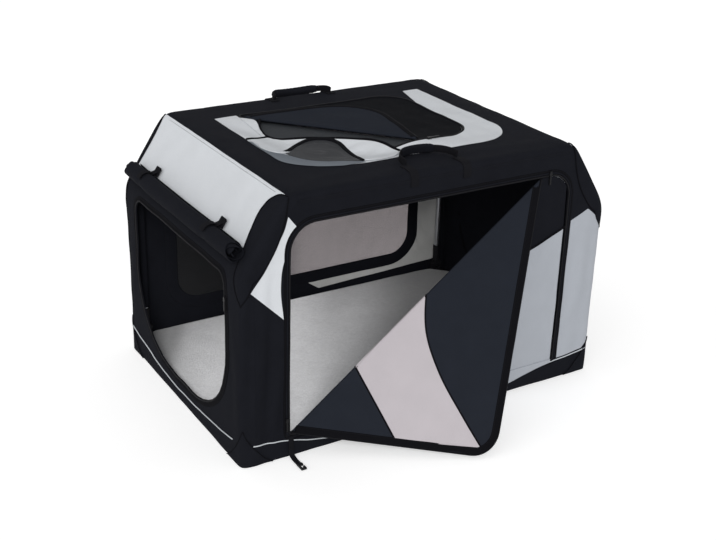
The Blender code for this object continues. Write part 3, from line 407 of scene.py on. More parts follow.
def make(name, points, faces, corner_uv):
    """Mesh object from points, faces and a UV in metres for each corner, with its faces turned outwards."""
    mesh = bpy.data.meshes.new(name)
    mesh.from_pydata(points.reshape(-1, 3).tolist(), [], faces)
    layer = mesh.uv_layers.new(name="UVMap")
    layer.data.foreach_set("uv", np.ascontiguousarray(corner_uv, np.float32).ravel())
    bm = bmesh.new()
    bm.from_mesh(mesh)
    bmesh.ops.recalc_face_normals(bm, faces=bm.faces)
    bm.to_mesh(mesh)
    bm.free()
    mesh.shade_smooth()
    mesh.set_sharp_from_angle(angle=SHARP_ANGLE)
    return in_scene(name, mesh)


def grid_faces(rows, cols, wrap_rows=False, wrap_cols=False):
    """Corners (row, column) of each quad of a grid, the last row or column joined on to the first where it wraps."""
    row, col = np.meshgrid(np.arange(rows if wrap_rows else rows - 1),
                           np.arange(cols if wrap_cols else cols - 1), indexing="ij")
    row, col = row.ravel(), col.ravel()
    return np.stack([np.stack([row, col], 1), np.stack([row + 1, col], 1), np.stack([row + 1, col + 1], 1),
                     np.stack([row, col + 1], 1)], 1)


def flat(corners, grid_shape):
    """Point numbers of a grid's corners (row, column)."""
    return corners[..., 0] % grid_shape[0] * grid_shape[1] + corners[..., 1] % grid_shape[1]


def smallest_box(uv):
    """Width and length of the smallest of the rectangles round a cut, each turned 3 degrees on from the last."""
    turn = np.radians(np.arange(0, 90, 3))
    across = np.ptp(uv @ np.stack([np.cos(turn), np.sin(turn)]), axis=0)
    along = np.ptp(uv @ np.stack([-np.sin(turn), np.cos(turn)]), axis=0)
    least = (across * along).argmin()
    return across[least], along[least]


def skin(name, outer, inner, uv, wrap=False):
    """Closed cloth: two matching grids of points, joined round their edges by narrow rims."""
    rows, cols = outer.shape[:2]
    count = rows * cols
    front = flat(grid_faces(rows, cols, wrap), (rows, cols))
    back = front[:, ::-1] + count
    pair = np.stack([np.arange(rows if wrap else rows - 1)] * 2, 1) + (0, 1)
    rims = [pair % rows * cols + col for col in (0, cols - 1)]
    if not wrap:
        ends = np.stack([np.arange(cols - 1), np.arange(1, cols)], 1)
        rims += [ends, ends + (rows - 1) * cols]
    rim = np.concatenate(rims)
    rim_faces = np.concatenate([rim, rim[:, ::-1] + count], 1)
    flat_uv = uv.reshape(-1, 2)
    corner = flat_uv[front]
    twice = corner * np.roll(corner, -1, 1)[..., ::-1]
    cut_area = 0.5 * np.abs((twice[..., 0] - twice[..., 1]).sum(1)).sum()
    CUTS[name] = (*smallest_box(flat_uv), cut_area, len(front))
    corner_uv = np.concatenate([corner, flat_uv[back % count], flat_uv[rim_faces % count]])
    return make(name, np.stack([outer, inner]), np.concatenate([front, back, rim_faces]).tolist(), corner_uv)


def strip(name, places, closed=False):
    """Bar whose sections are the rows of places: sections wrap round, and open ends get a cap."""
    rows, cols = places.shape[:2]
    quads = grid_faces(rows, cols, closed, True)
    run = run_along(closed_up(places))
    round_about = run_along(closed_up(places.swapaxes(0, 1)))
    faces = flat(quads, (rows, cols)).tolist()
    corner_uv = np.stack([run[quads[..., 0]], round_about[quads[..., 1]]], -1).reshape(-1, 2)
    if not closed:
        faces += [list(range(cols)), list(range((rows - 1) * cols, rows * cols))]
        caps = [level(round_about[:cols], run[end])[:, ::-1] for end in (0, rows - 1)]
        corner_uv = np.concatenate([corner_uv, *caps])
    return make(name, places, faces, corner_uv)


def tape_section(inner, outer, top, bottom):
    """Section of a band from inner to outer: its edge offsets and lifts, with half-round edges."""
    half = (top - bottom) / 2
    middle = (top + bottom) / 2
    arc = np.linspace(-math.pi / 2, math.pi / 2, 7)
    offsets = np.concatenate([outer - half + half * np.cos(arc), inner + half - half * np.cos(arc[::-1])])
    lifts = np.concatenate([middle + half * np.sin(arc), middle + half * np.sin(arc[::-1])])
    return offsets, lifts


def band(name, panel, corners, inner, outer, top=TRIM, bottom=-CLOTH):
    """Closed tape round an opening, from inner to outer beyond its edge: each point of its section is on the
    opening's outline, grown by the point's offset and lifted by its lift."""
    offsets, lifts = tape_section(inner, outer, top, bottom)
    uv = np.stack([rounded(corners, offset) for offset in offsets], 1)
    return strip(name, panel.place(uv, lifts), True)


def ribbon(name, surface, path, low_side, high_side, top, bottom, closed=False):
    """Flat tape along a path of (u, v), from low_side to high_side of it, with half-round edges."""
    ahead = unit(np.roll(path, -1, 0) - np.roll(path, 1, 0) if closed else np.gradient(path, axis=0))
    side = np.stack([ahead[:, 1], -ahead[:, 0]], 1)
    offsets, lifts = tape_section(low_side, high_side, top, bottom)
    return strip(name, surface.place(path[:, None] + offsets[None, :, None] * side[:, None], lifts), closed)


def sweep(path, section, side):
    """Rows of section points (side, out) carried along a path, the side kept as near as it can be to one direction."""
    tangent = unit(np.gradient(path, axis=0))
    across = np.broadcast_to(np.array(side, float), path.shape)
    across = unit(across - (across * tangent).sum(1, keepdims=True) * tangent)
    out = np.cross(tangent, across)
    return path[:, None] + section[..., :1] * across[:, None] + section[..., 1:] * out[:, None]


def strap_section(half_width, half_thick, arc_steps=3):
    """Flat strap's section: a rectangle with half-round edges."""
    arc = np.linspace(-math.pi / 2, math.pi / 2, 2 * arc_steps + 1)
    edge = half_width - half_thick
    right = np.stack([edge + half_thick * np.cos(arc), half_thick * np.sin(arc)], 1)
    return np.concatenate([right, -right])


def circle(radius, sides):
    turn = np.linspace(0, 2 * math.pi, sides, endpoint=False)
    return np.stack([radius * np.cos(turn), radius * np.sin(turn)], 1)


# Materials
def add(tree, kind, settings=None, **inputs):
    """Node of a kind, with settings as attributes, and inputs as values or as sockets to link from."""
    made = tree.nodes.new(kind)
    for key, value in (settings or {}).items():
        setattr(made, key, value)
    for key, value in inputs.items():
        socket = made.inputs[int(key[1:])] if key[0] == "_" else made.inputs[key.replace("_", " ")]
        if isinstance(value, bpy.types.NodeSocket):
            tree.links.new(value, socket)
        else:
            socket.default_value = value
    return made


def maths(tree, operation, *values):
    inputs = {f"_{index}": value for index, value in enumerate(values)}
    return add(tree, "ShaderNodeMath", {"operation": operation}, **inputs).outputs[0]


def place_in(tree, kind):
    return add(tree, "ShaderNodeTexCoord").outputs[kind]


def noise(tree, place, scale, detail, **more):
    return add(tree, "ShaderNodeTexNoise", Vector=place, Scale=scale, Detail=detail, **more).outputs["Fac"]


def scaled(tree, colour, share):
    return add(tree, "ShaderNodeVectorMath", {"operation": "SCALE"}, _0=colour, Scale=share).outputs[0]


def bumped(tree, height, strength, distance):
    return add(tree, "ShaderNodeBump", Strength=strength, Distance=distance, Height=height).outputs["Normal"]


def eased_map(tree, value, limits):
    """Smooth step of value between the first two limits, from the third to the fourth."""
    inputs = {f"_{index}": limit for index, limit in enumerate(limits, 1)}
    return add(tree, "ShaderNodeMapRange", {"interpolation_type": "SMOOTHSTEP"}, _0=value, **inputs).outputs[0]


def join(tree, target, **sockets):
    """Link sockets into the named inputs of a shader or of a group's result."""
    for key, socket in sockets.items():
        tree.links.new(socket, target.inputs[key.replace("_", " ")])


def new_group(name, given, *results):
    """Empty shader group: an input for each given default, and an output for each result."""
    tree = bpy.data.node_groups.new(name, "ShaderNodeTree")
    for side, keys in (("INPUT", given), ("OUTPUT", results)):
        for key in keys:
            kind = "NodeSocketColor" if key == "Colour" else "NodeSocketFloat"
            socket = tree.interface.new_socket(key, in_out=side, socket_type=kind)
            if side == "INPUT":
                socket.default_value = given[key]
    return tree, tree.nodes.new("NodeGroupInput").outputs, tree.nodes.new("NodeGroupOutput")


def mottle_group():
    """Colour that wanders a little in lightness, over noise in Object coordinates."""
    tree, given, result = new_group("Mottle", {"Colour": (0.5, 0.5, 0.5, 1), "Amount": 0.1, "Size": 0.05},
                                    "Colour", "Mask")
    scale = maths(tree, "DIVIDE", 1.0, given["Size"])
    mask = noise(tree, place_in(tree, "Object"), scale, 5.0, Roughness=0.62)
    swing = maths(tree, "MULTIPLY", maths(tree, "SUBTRACT", mask, 0.5), given["Amount"])
    gain = maths(tree, "ADD", maths(tree, "MULTIPLY", swing, 2.0), 1.0)
    join(tree, result, Colour=scaled(tree, given["Colour"], gain), Mask=mask)
    return tree


def weave_group():
    """Plain weave from the UV map in metres: warp and weft ribs that pass over each other in turn."""
    tree, given, result = new_group("Weave", {"Thread": 0.0008, "Slub": 0.3}, "Height", "Gap")
    place = place_in(tree, "UV")
    slub = noise(tree, place, 180.0, 2.0)
    split = add(tree, "ShaderNodeSeparateXYZ", _0=place).outputs
    ribs = []
    for axis in ("X", "Y"):
        turn = maths(tree, "DIVIDE", split[axis], given["Thread"])
        wobble = maths(tree, "MULTIPLY", maths(tree, "SUBTRACT", slub, 0.5), given["Slub"])
        ribs.append(maths(tree, "SINE", maths(tree, "MULTIPLY", maths(tree, "ADD", turn, wobble), math.pi)))
    over = maths(tree, "SIGN", maths(tree, "MULTIPLY", *ribs))
    warp, weft = (maths(tree, "MULTIPLY", maths(tree, "ABSOLUTE", rib), maths(tree, "MULTIPLY_ADD", over, rise, 0.72))
                  for rib, rise in zip(ribs, (0.22, -0.22)))
    height = maths(tree, "MAXIMUM", warp, weft)
    join(tree, result, Height=height, Gap=maths(tree, "SUBTRACT", 1.0, height))
    return tree


def net_group():
    """Net from the UV map: threads where the mean of two crossing waves is low, with round holes between."""
    tree, given, result = new_group("Net", {"Pitch": 0.0018, "Hole": 0.25}, "Thread", "Height")
    split = add(tree, "ShaderNodeSeparateXYZ", _0=place_in(tree, "UV")).outputs
    rows, cols = (maths(tree, "COSINE", maths(tree, "MULTIPLY", maths(tree, "DIVIDE", split[axis], given["Pitch"]),
                                              2 * math.pi)) for axis in ("X", "Y"))
    height = maths(tree, "MULTIPLY", maths(tree, "ADD", rows, cols), 0.5)
    join(tree, result, Thread=maths(tree, "LESS_THAN", height, given["Hole"]),
         Height=maths(tree, "MULTIPLY", height, -1.0))
    return tree


def grain_group():
    """Fine moulded grain in Object coordinates, with a faint larger unevenness."""
    tree, given, result = new_group("Grain", {"Size": 0.0008}, "Height", "Roughness")
    place = place_in(tree, "Object")
    fine = noise(tree, place, maths(tree, "DIVIDE", 1.0, given["Size"]), 3.0)
    broad = noise(tree, place, 40.0, 3.0)
    join(tree, result, Height=maths(tree, "MULTIPLY_ADD", broad, 0.4, fine),
         Roughness=maths(tree, "MULTIPLY_ADD", broad, 0.25, 0.32))
    return tree


GROUPS = {"mottle": mottle_group(), "weave": weave_group(), "net": net_group(), "grain": grain_group()}


def use_group(tree, key, **inputs):
    return add(tree, "ShaderNodeGroup", {"node_tree": GROUPS[key]}, **inputs).outputs


def mottled(tree, colour, amount, size):
    return use_group(tree, "mottle", Colour=colour, Amount=amount, Size=size)


def new_material(name, roughness, **fixed):
    """Principled material; fixed sets its unlinked sockets."""
    made = bpy.data.materials.new(name)
    made.use_nodes = True
    shader = made.node_tree.nodes["Principled BSDF"]
    shader.inputs["Roughness"].default_value = roughness
    for key, value in fixed.items():
        shader.inputs[key.replace("_", " ")].default_value = value
    return made, made.node_tree, shader


def srgb(*levels):
    """Linear colour from 8-bit display levels."""
    share = np.array(levels) / 255
    return (*np.where(share <= 0.04045, share / 12.92, ((share + 0.055) / 1.055) ** 2.4).tolist(), 1.0)


CLOTH_THREAD = 0.0008
THREAD_DEPTH = 0.00018
THREAD_SLUB = 0.35


def woven(name, colour, mottling=0.12, thread=CLOTH_THREAD, roughness=0.86, depth=THREAD_DEPTH):
    """Woven cloth: mottled colour, with painted shade between its threads, and the weave as bump."""
    made, tree, shader = new_material(name, roughness, Sheen_Weight=0.0, Sheen_Roughness=0.5,
                                      Specular_IOR_Level=0.03)
    weave = use_group(tree, "weave", Thread=thread, Slub=THREAD_SLUB)
    mottle = mottled(tree, colour, mottling, 0.05)
    # Painted shade: the colour is darker in the gaps between the threads
    join(tree, shader, Base_Color=scaled(tree, mottle["Colour"], maths(tree, "MULTIPLY_ADD", weave["Gap"], -0.35, 1.1)),
         Roughness=maths(tree, "MULTIPLY_ADD", mottle["Mask"], 0.12, roughness - 0.06),
         Normal=bumped(tree, weave["Height"], 0.6, depth))
    return made


# Painted light and shade on the mat: its colour fades along this direction, from the open left end and side door to the
# closed right end, and a painted emission glow brightens its open end
MAT_TOWARD = (0.858, -0.512, 0.0)
MAT_PAINTED_NEAR_SHADE = (-0.45, -0.40, 0.5, 1.0)
MAT_PAINTED_FAR_SHADE = (-0.06, 0.16, 1.0, 0.34)
MAT_PAINTED_GLOW_FROM = (-0.43, -0.20, 0.0, 1.0)
MAT_PAINTED_GLOW_TO = (-0.19, -0.03, 1.0, 0.0)
TUFT = 0.0045


def fleece_material():
    """Short tufted pile: small clumps of fibres over larger pressed patches, in Object coordinates.

    Painted light and shade: it is painted lighter, with an emission glow, where it faces the two open doors, and
    painted darker at its far end, where the crate's own shade falls."""
    made, tree, shader = new_material("short_fleece_painted_light", 0.96, Sheen_Weight=0.35, Sheen_Roughness=0.6,
                                      Specular_IOR_Level=0.15, Emission_Strength=0.45)
    place = place_in(tree, "Object")
    clump = noise(tree, place, 1 / TUFT, 6.0, Roughness=0.75, Distortion=0.6)
    patch = noise(tree, place, 22.0, 3.0, Roughness=0.6)
    # Painted shade: the pile's colour is darker where the pile is lower, between its clumps
    shade = maths(tree, "MULTIPLY_ADD", clump, 0.6, maths(tree, "MULTIPLY", patch, 0.4))
    painted_hollow_shade = maths(tree, "MULTIPLY_ADD", shade, 0.34, 0.80)
    colour = mottled(tree, srgb(218, 218, 220), 0.18, 0.009)["Colour"]
    along = add(tree, "ShaderNodeVectorMath", {"operation": "DOT_PRODUCT"}, _0=place, _1=MAT_TOWARD).outputs["Value"]
    # Painted light: the base colour is painted darker towards the closed end, and the emission colour is a painted glow
    # near the open ends
    painted_light_colour, glow = (scaled(tree, colour, maths(tree, "MULTIPLY", painted_hollow_shade, maths(
        tree, "MULTIPLY", eased_map(tree, along, first), eased_map(tree, along, second))))
                 for first, second in ((MAT_PAINTED_NEAR_SHADE, MAT_PAINTED_FAR_SHADE), (MAT_PAINTED_GLOW_FROM, MAT_PAINTED_GLOW_TO)))
    join(tree, shader, Base_Color=painted_light_colour, Emission_Color=glow,
         Normal=bumped(tree, maths(tree, "MULTIPLY_ADD", patch, 0.35, clump), 0.9, 0.0022))
    return made


# Painted light on the lining: where along x it fades from painted shade to light, and the dark colour of that painted
# shade
LINING_PAINTED_FADE = (-0.12, 0.03, 0.0, 1.0)
LINING_PAINTED_SHADE = srgb(28, 29, 31)


def lining_material():
    """Thin lining with painted light: an emission glow stands in for daylight coming through it, and it is painted
    dark, as in shade, at the crate's left, and light from its middle on.
    """
    made, tree, shader = new_material("thin_lining_painted_light", 0.9, Specular_IOR_Level=0.03, Emission_Strength=0.47)
    colour = mottled(tree, srgb(196, 188, 190), 0.05, 0.12)["Colour"]
    weave = use_group(tree, "weave", Thread=CLOTH_THREAD, Slub=THREAD_SLUB)
    along = add(tree, "ShaderNodeSeparateXYZ", _0=place_in(tree, "Object")).outputs["X"]
    # Painted light: 0 at the crate's left and 1 from its middle on; it mixes the painted shade into the colour and
    # gates the painted glow
    light = eased_map(tree, along, LINING_PAINTED_FADE)
    mixed = add(tree, "ShaderNodeMix", {"data_type": "RGBA"}, Factor=light, A=LINING_PAINTED_SHADE, B=colour)
    join(tree, shader, Base_Color=mixed.outputs["Result"], Emission_Color=scaled(tree, colour, light),
         Normal=bumped(tree, weave["Height"], 0.5, THREAD_DEPTH))
    return made


def net_material(name, colour, hole):
    """Knitted net with open holes between its threads."""
    made, tree, shader = new_material(name, 0.7, Specular_IOR_Level=0.3)
    net = use_group(tree, "net", Pitch=0.0018, Hole=hole)
    join(tree, shader, Base_Color=mottled(tree, colour, 0.2, 0.03)["Colour"], Alpha=net["Thread"],
         Normal=bumped(tree, net["Height"], 0.5, 0.0004))
    return made


def moulded_material(name, colour):
    """Moulded nylon or a painted casting: a fine grain, and a gloss that wanders."""
    made, tree, shader = new_material(name, 0.45, Specular_IOR_Level=0.12)
    grain = use_group(tree, "grain", Size=0.0008)
    join(tree, shader, Base_Color=mottled(tree, colour, 0.15, 0.02)["Colour"], Roughness=grain["Roughness"],
         Normal=bumped(tree, grain["Height"], 0.25, 0.0002))
    return made


def steel_material(name, colour):
    """Drawn tube: metal with a roughness that wanders, and a very fine grain."""
    made, tree, shader = new_material(name, 0.3, Metallic=1.0)
    grain = use_group(tree, "grain", Size=0.0015)
    join(tree, shader, Base_Color=mottled(tree, colour, 0.08, 0.03)["Colour"],
         Roughness=maths(tree, "MULTIPLY_ADD", grain["Roughness"], 0.6, 0.08),
         Normal=bumped(tree, grain["Height"], 0.08, 0.0001))
    return made


COIL_PITCH = 0.0014


def coil_material():
    """Nylon zip coil: ribs across its run, which the UV map has in metres."""
    made, tree, shader = new_material("black_zip_coil", 0.62, Specular_IOR_Level=0.08)
    run = add(tree, "ShaderNodeSeparateXYZ", _0=place_in(tree, "UV")).outputs["X"]
    ribs = maths(tree, "SINE", maths(tree, "MULTIPLY", run, 2 * math.pi / COIL_PITCH))
    join(tree, shader, Base_Color=mottled(tree, srgb(22, 22, 25), 0.2, 0.02)["Colour"],
         Normal=bumped(tree, ribs, 0.8, 0.0003))
    return made


BLACK = woven("black_polyester", srgb(24, 25, 30), 0.22)
HATCH_BLACK = woven("black_polyester_hatch", srgb(13, 14, 17), 0.22)
INNER_BLACK = woven("black_polyester_inside", srgb(34, 37, 44), 0.14)
GREY = woven("grey_polyester", srgb(210, 213, 217), 0.05)
# Painted shade: the same light grey cloth, painted darker where less light falls on it
GREY_PAINTED_FALLOFF = woven("grey_polyester_painted_falloff", srgb(168, 172, 179), 0.06)
# Painted shade: a mid-grey that stands in for the light band where it lies in shade
GREY_PAINTED_SHADE = woven("mid_grey_painted_shade", srgb(116, 122, 129), 0.06)
LINEN = woven("grey_lining", srgb(196, 196, 194), 0.08)
WARM_GREY = woven("warm_grey_lining", srgb(182, 176, 180), 0.06)
WEBBING = woven("black_webbing", srgb(24, 24, 27), 0.2, thread=0.0022, depth=0.0004)
BINDING = woven("black_binding", srgb(16, 16, 19), 0.2, thread=0.0014, depth=0.0003)
THREAD = woven("black_thread", srgb(30, 30, 33), thread=0.0006)
REFLECTIVE = woven("reflective_piping", srgb(196, 200, 204), thread=0.0005, roughness=0.4)
FLEECE = fleece_material()
LINING = lining_material()
NET = net_material("window_net", srgb(46, 46, 48), -0.25)
ROOF_NET = net_material("roof_net", srgb(40, 43, 47), 0.45)
FLAP_NET = net_material("net_flap", srgb(31, 33, 37), 0.70)
PLASTIC = moulded_material("black_nylon", srgb(28, 28, 30))
STEEL = steel_material("zinc_steel", srgb(196, 198, 202))
COAT = moulded_material("black_zip_metal", srgb(20, 20, 22))
COIL = coil_material()


def flatten_with_cover(piece):
    """Give a piece a mesh of its own."""
    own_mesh(piece)


def line_with(piece, material):
    """Give the cloth's inner face a material of its own."""
    piece.data.materials.append(material)
    count = CUTS[piece.name][3]
    index = np.zeros(len(piece.data.polygons), np.int32)
    index[count:2 * count] = 1
    piece.data.polygons.foreach_set("material_index", index)


def dress(piece, material, body="base", nodes=(), fold=True, inside=None):
    """Give a new piece its material and slot, the body that it rides on, and, where fold is set, a mesh of its own.
    """
    piece.data.materials.append(material)
    if nodes:
        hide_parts(*nodes)
    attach(piece, body)
    if fold:
        flatten_with_cover(piece)
    if inside:
        line_with(piece, inside)


# Small pieces that repeat
def layer(name, panel, grid, material):
    """Thin cloth sewn on a wall."""
    dress(panel.cloth(name, grid, LAYER, LAYER_CLOTH), material)


def corner_cloth(name, points, lift, foot):
    """Black cloth round a corner of the shell, from foot to lift above it, cut along x + y and z."""
    uv = np.stack([points[..., 0] + points[..., 1], points[..., 2]], -1)
    dress(skin(name, drape(points, lift), drape(points, foot), uv), BLACK)


def cord(name, path, radius, sides=8, material=BINDING, nodes=()):
    """Round cord along a path."""
    dress(strip(name, sweep(path, circle(radius, sides), (0, 0, 1))), material, nodes=nodes)


STITCH_PITCH = 0.0044
STITCH_LENGTH = 0.0030
STITCH_HALF = 0.0004
STITCH_HIGH = 0.0005
STITCH_FACES = np.array([[0, 1, 5, 4], [1, 2, 6, 5], [2, 3, 7, 6], [3, 0, 4, 7], [4, 5, 9, 8], [5, 6, 10, 9],
                         [6, 7, 11, 10], [7, 4, 8, 11], [3, 2, 1, 0], [8, 9, 10, 11]])


def stitches(name, surface, paths, lift, body="base", outward=1):
    """Rows of sewn stitches along paths of (u, v): each is a bar of three sections, highest at its middle.

    With outward -1 they stand out from the cloth's inner face."""
    rows = []
    for path in paths:
        starts = np.arange(STITCH_PITCH / 2, run_along(path)[-1] - STITCH_LENGTH, STITCH_PITCH)
        rows.append(points_at(path, starts[:, None] + np.array([0, 0.5, 1]) * STITCH_LENGTH))
    middle = np.concatenate(rows)
    ahead = unit(middle[:, 2] - middle[:, 0])
    side = np.stack([ahead[:, 1], -ahead[:, 0]], 1)[:, None, None]
    offsets = np.array([-1, 1, 0.6, -0.6]) * STITCH_HALF
    heights = np.array([[0, 0, 0.3, 0.3], [0, 0, 1, 1], [0, 0, 0.3, 0.3]]) * STITCH_HIGH
    uv = middle[:, :, None] + offsets[None, None, :, None] * side
    faces = (STITCH_FACES + 12 * np.arange(len(middle))[:, None, None]).reshape(-1, 4)
    points = surface.place(uv, lift + outward * heights)
    dress(make(name, points, faces.tolist(), uv.reshape(-1, 2)[faces]), THREAD, body)


# Walls, roof and slopes
WALL_FOOT = 0.0005
SLOPE_HEMS = {"left": 0.058, "right": 0.020}
HEM_LAP = 0.006
EDGE_BAND_WIDE = 0.014
EDGE_BAND_FOOT = 0.018


def walls():
    """Black walls and roof of the cover, each a ring from its opening out to the panel's sides."""
    for name, panel, corners, hole, node in (("front_cover_wall", FRONT, WALL_CORNERS, DOOR, "front_wall"),
                                             ("rear_cover_wall", REAR, WALL_CORNERS, WINDOW, "rear_wall"),
                                             ("left_cover_wall", LEFT, END_CORNERS, END, "left_end_wall"),
                                             ("right_cover_wall", RIGHT, END_CORNERS, END, "right_end_wall"),
                                             ("roof_cover", ROOF, ROOF_CORNERS, HATCH, "roof_panel")):
        grid = ring_grid(rounded(hole), corners)
        if panel is not ROOF:
            grid[..., 1] = np.maximum(grid[..., 1], WALL_FOOT)
        dress(panel.cloth(name, grid, wrap=True), BLACK, nodes=[node])


def slopes():
    """Light grey panels between the knees and the roof, over a black hem along each knee."""
    across = crowded(-HALF_WIDTH, HALF_WIDTH, 110)
    for name, panel in (("left", LEFT_SLOPE), ("right", RIGHT_SLOPE)):
        hem = SLOPE_HEMS[name]
        cover = panel.cloth(f"{name}_slope_cover", grid_of(across, crowded(hem - HEM_LAP, SLOPE_LENGTH, 60)))
        dress(cover, GREY, nodes=[f"{name}_slope_panel"])
        dress(panel.cloth(f"{name}_slope_hem", grid_of(across, np.linspace(0, hem, 30)), 0.0006, 0.0022), BLACK)
    for side, face in FACES:
        grid = grid_of(side * np.linspace(HALF_WIDTH - EDGE_BAND_WIDE, HALF_WIDTH, 8),
                       np.linspace(EDGE_BAND_FOOT, SLOPE_LENGTH, 60))
        layer(f"right_slope_edge_{face}", RIGHT_SLOPE, grid, BLACK)


# Leaf-shaped gussets over the sloping corners: reach along the edge from the knee, and width on each side
LEAF_ALONG = (-0.055, -0.030, 0.0, 0.036, 0.094, 0.144, 0.172, 0.186, 0.191)
LEAF_ON_SLOPE = (0.0, 0.018, 0.031, 0.038, 0.052, 0.055, 0.040, 0.020, 0.004)
LEAF_ON_WALL = (0.0, 0.018, 0.029, 0.035, 0.034, 0.022, 0.011, 0.005, 0.001)
LEAF_PUFF = 0.0035
REAR_LEFT_SHARE = 0.35


def leaf_points(side_x, side_y, slope_share):
    """Grid over one sloping corner: rows climb the corner's edge, columns cross from the slope to the wall."""
    along = crowded(LEAF_ALONG[0], LEAF_ALONG[-1] - 0.0005, 70, 1.4)
    climb = np.maximum(along, 0)[:, None] * np.array([-side_x * SLOPE_SIN, 0, SLOPE_COS])
    climb = climb + np.minimum(along, 0)[:, None] * np.array([0, 0, 1.0])
    edge = np.array([side_x * HALF_LENGTH, side_y * HALF_WIDTH, KNEE]) + climb
    turn = np.clip((along + 0.02) / 0.04, 0, 1)[:, None]
    on_wall = (1 - turn) * np.array([-side_x, 0, 0]) + turn * np.array([-side_x * SLOPE_COS, 0, -SLOPE_SIN])
    on_wall = unit(on_wall)[:, None]
    on_slope = np.array([0, -side_y, 0.0])
    left = slope_share * smooth_through(LEAF_ALONG, LEAF_ON_SLOPE, along)[:, None, None]
    right = smooth_through(LEAF_ALONG, LEAF_ON_WALL, along)[:, None, None]
    share = np.linspace(-1, 1, 41)
    width = smooth_bump(share, -1.02, 1.02)[None]
    length = smooth_bump(along, along[0] - 0.004, along[-1] + 0.004)[:, None] ** 0.25
    share = share[None, :, None]
    points = edge[:, None] + np.clip(-share, 0, 1) * left * on_slope + np.clip(share, 0, 1) * right * on_wall
    return points, width * length


def leaves():
    """Padded gussets over the four sloping corners, with a cord along each side."""
    for side_x, end in SIDES:
        for side_y, face in FACES:
            slope_share = REAR_LEFT_SHARE if (face, end) == ("rear", "left") else 1.0
            points, puff = leaf_points(side_x, side_y, slope_share)
            corner_cloth(f"corner_gusset_{face}_{end}", points, LAYER + LEAF_PUFF * puff, 0.0)
            for edge_name, column in (("slope", 0), ("wall", -1)):
                path = drape(points[:, column], LAYER + 0.0006)
                cord(f"gusset_piping_{face}_{end}_{edge_name}", path, 0.0012)


walls()
slopes()
leaves()


# Light coloured panels on the walls
FRONT_LEFT_NEAR = ((-0.361, 0.321), (-0.3665, 0.388), (-0.3635, 0.429), (-0.351, 0.467), (-0.3265, 0.505))
FRONT_LEFT_FAR = ((-0.432, 0.392), (-0.401, 0.432), (-0.374, 0.482), (-0.359, 0.509), (-0.351, 0.536))
FRONT_LEFT_LIGHT = between(through(FRONT_LEFT_NEAR, 40), through(FRONT_LEFT_FAR, 40), 16)
FRONT_RIGHT_TOP = ((0.361, 0.399), (0.385, 0.409), (0.408, 0.420), (0.4245, 0.4065), (0.440, 0.393), (0.4548, 0.381))
FRONT_RIGHT_LOW = ((0.361, 0.053), (0.385, 0.055), (0.408, 0.057), (0.434, 0.061), (0.445, 0.073), (0.4548, 0.088))
END_STRIP_WIDE = 0.020
END_STRIP_HEIGHTS = (0.088, 0.381)
# Light band on the roof: where its outlines start and end, at the left back and right back corners, and how far
# behind y its right arm narrows, and by how much for each metre
BAND_ENDS = (-26, 72)
BAND_TAIL = 0.11
BAND_NARROWING = 0.24


def coloured_panels():
    """Light panels between two curves each: left and right of the side door, and round the right front corner."""
    layer("front_left_light_panel", FRONT, FRONT_LEFT_LIGHT, GREY)
    # The right panel and the end strips are the light grey painted darker, as painted shade
    x = np.linspace(FRONT_RIGHT_TOP[0][0], FRONT_RIGHT_TOP[-1][0], 34)
    low, high = (np.interp(x, *np.array(edge).T) for edge in (FRONT_RIGHT_LOW, FRONT_RIGHT_TOP))
    layer("front_right_light_panel", FRONT, upright(x, low, high, 60), GREY_PAINTED_FALLOFF)
    for side, face in FACES:
        u = side * np.linspace(HALF_WIDTH, HALF_WIDTH - END_STRIP_WIDE, 10)
        layer(f"right_end_{face}_light_strip", RIGHT, upright(u, *END_STRIP_HEIGHTS, 60), GREY_PAINTED_FALLOFF)


def roof_band():
    """Light band round the front, left and right of the hatch, open at the back."""
    inside, outside = (loop_part(loop, *loop[list(BAND_ENDS)], 150) for loop in (rounded(BAND_IN), rounded(BAND_OUT)))
    inside = inside + np.maximum(inside[:, 1:] - BAND_TAIL, 0) * (inside[:, :1] > 0) * (BAND_NARROWING, 0)
    layer("roof_light_band", ROOF, between(inside, outside, 16), GREY)


# Reinforcement patches at the bottom corners: width at each height
PATCH_HEIGHTS = (0.0008, 0.012, 0.026, 0.040, 0.054, 0.072, 0.086)
PATCH_WIDTHS = (0.069, 0.052, 0.040, 0.028, 0.018, 0.008, 0.002)
PATCH_LIFT = 0.0022
# Cloth bands up the corner seams: their width on the end wall and on the long one, and the heights they reach between
SEAM_BAND_WIDTHS = (0.012, 0.030)
SEAM_BAND_HEIGHTS = (0.060, 0.385)


def round_corner(side_x, side_y, heights, on_end, on_long):
    """Grid round one upright corner: rows climb it, columns go from the end wall to the long wall."""
    share = np.linspace(-1, 1, 41)[None, :, None]
    zeros = np.zeros_like(heights)
    edge = np.stack([zeros + side_x * HALF_LENGTH, zeros + side_y * HALF_WIDTH, heights], -1)
    to_end = np.clip(-share, 0, 1) * (zeros + on_end)[:, None, None] * np.array([0, -side_y, 0.0])
    to_long = np.clip(share, 0, 1) * (zeros + on_long)[:, None, None] * np.array([-side_x, 0, 0.0])
    return edge[:, None] + to_end + to_long


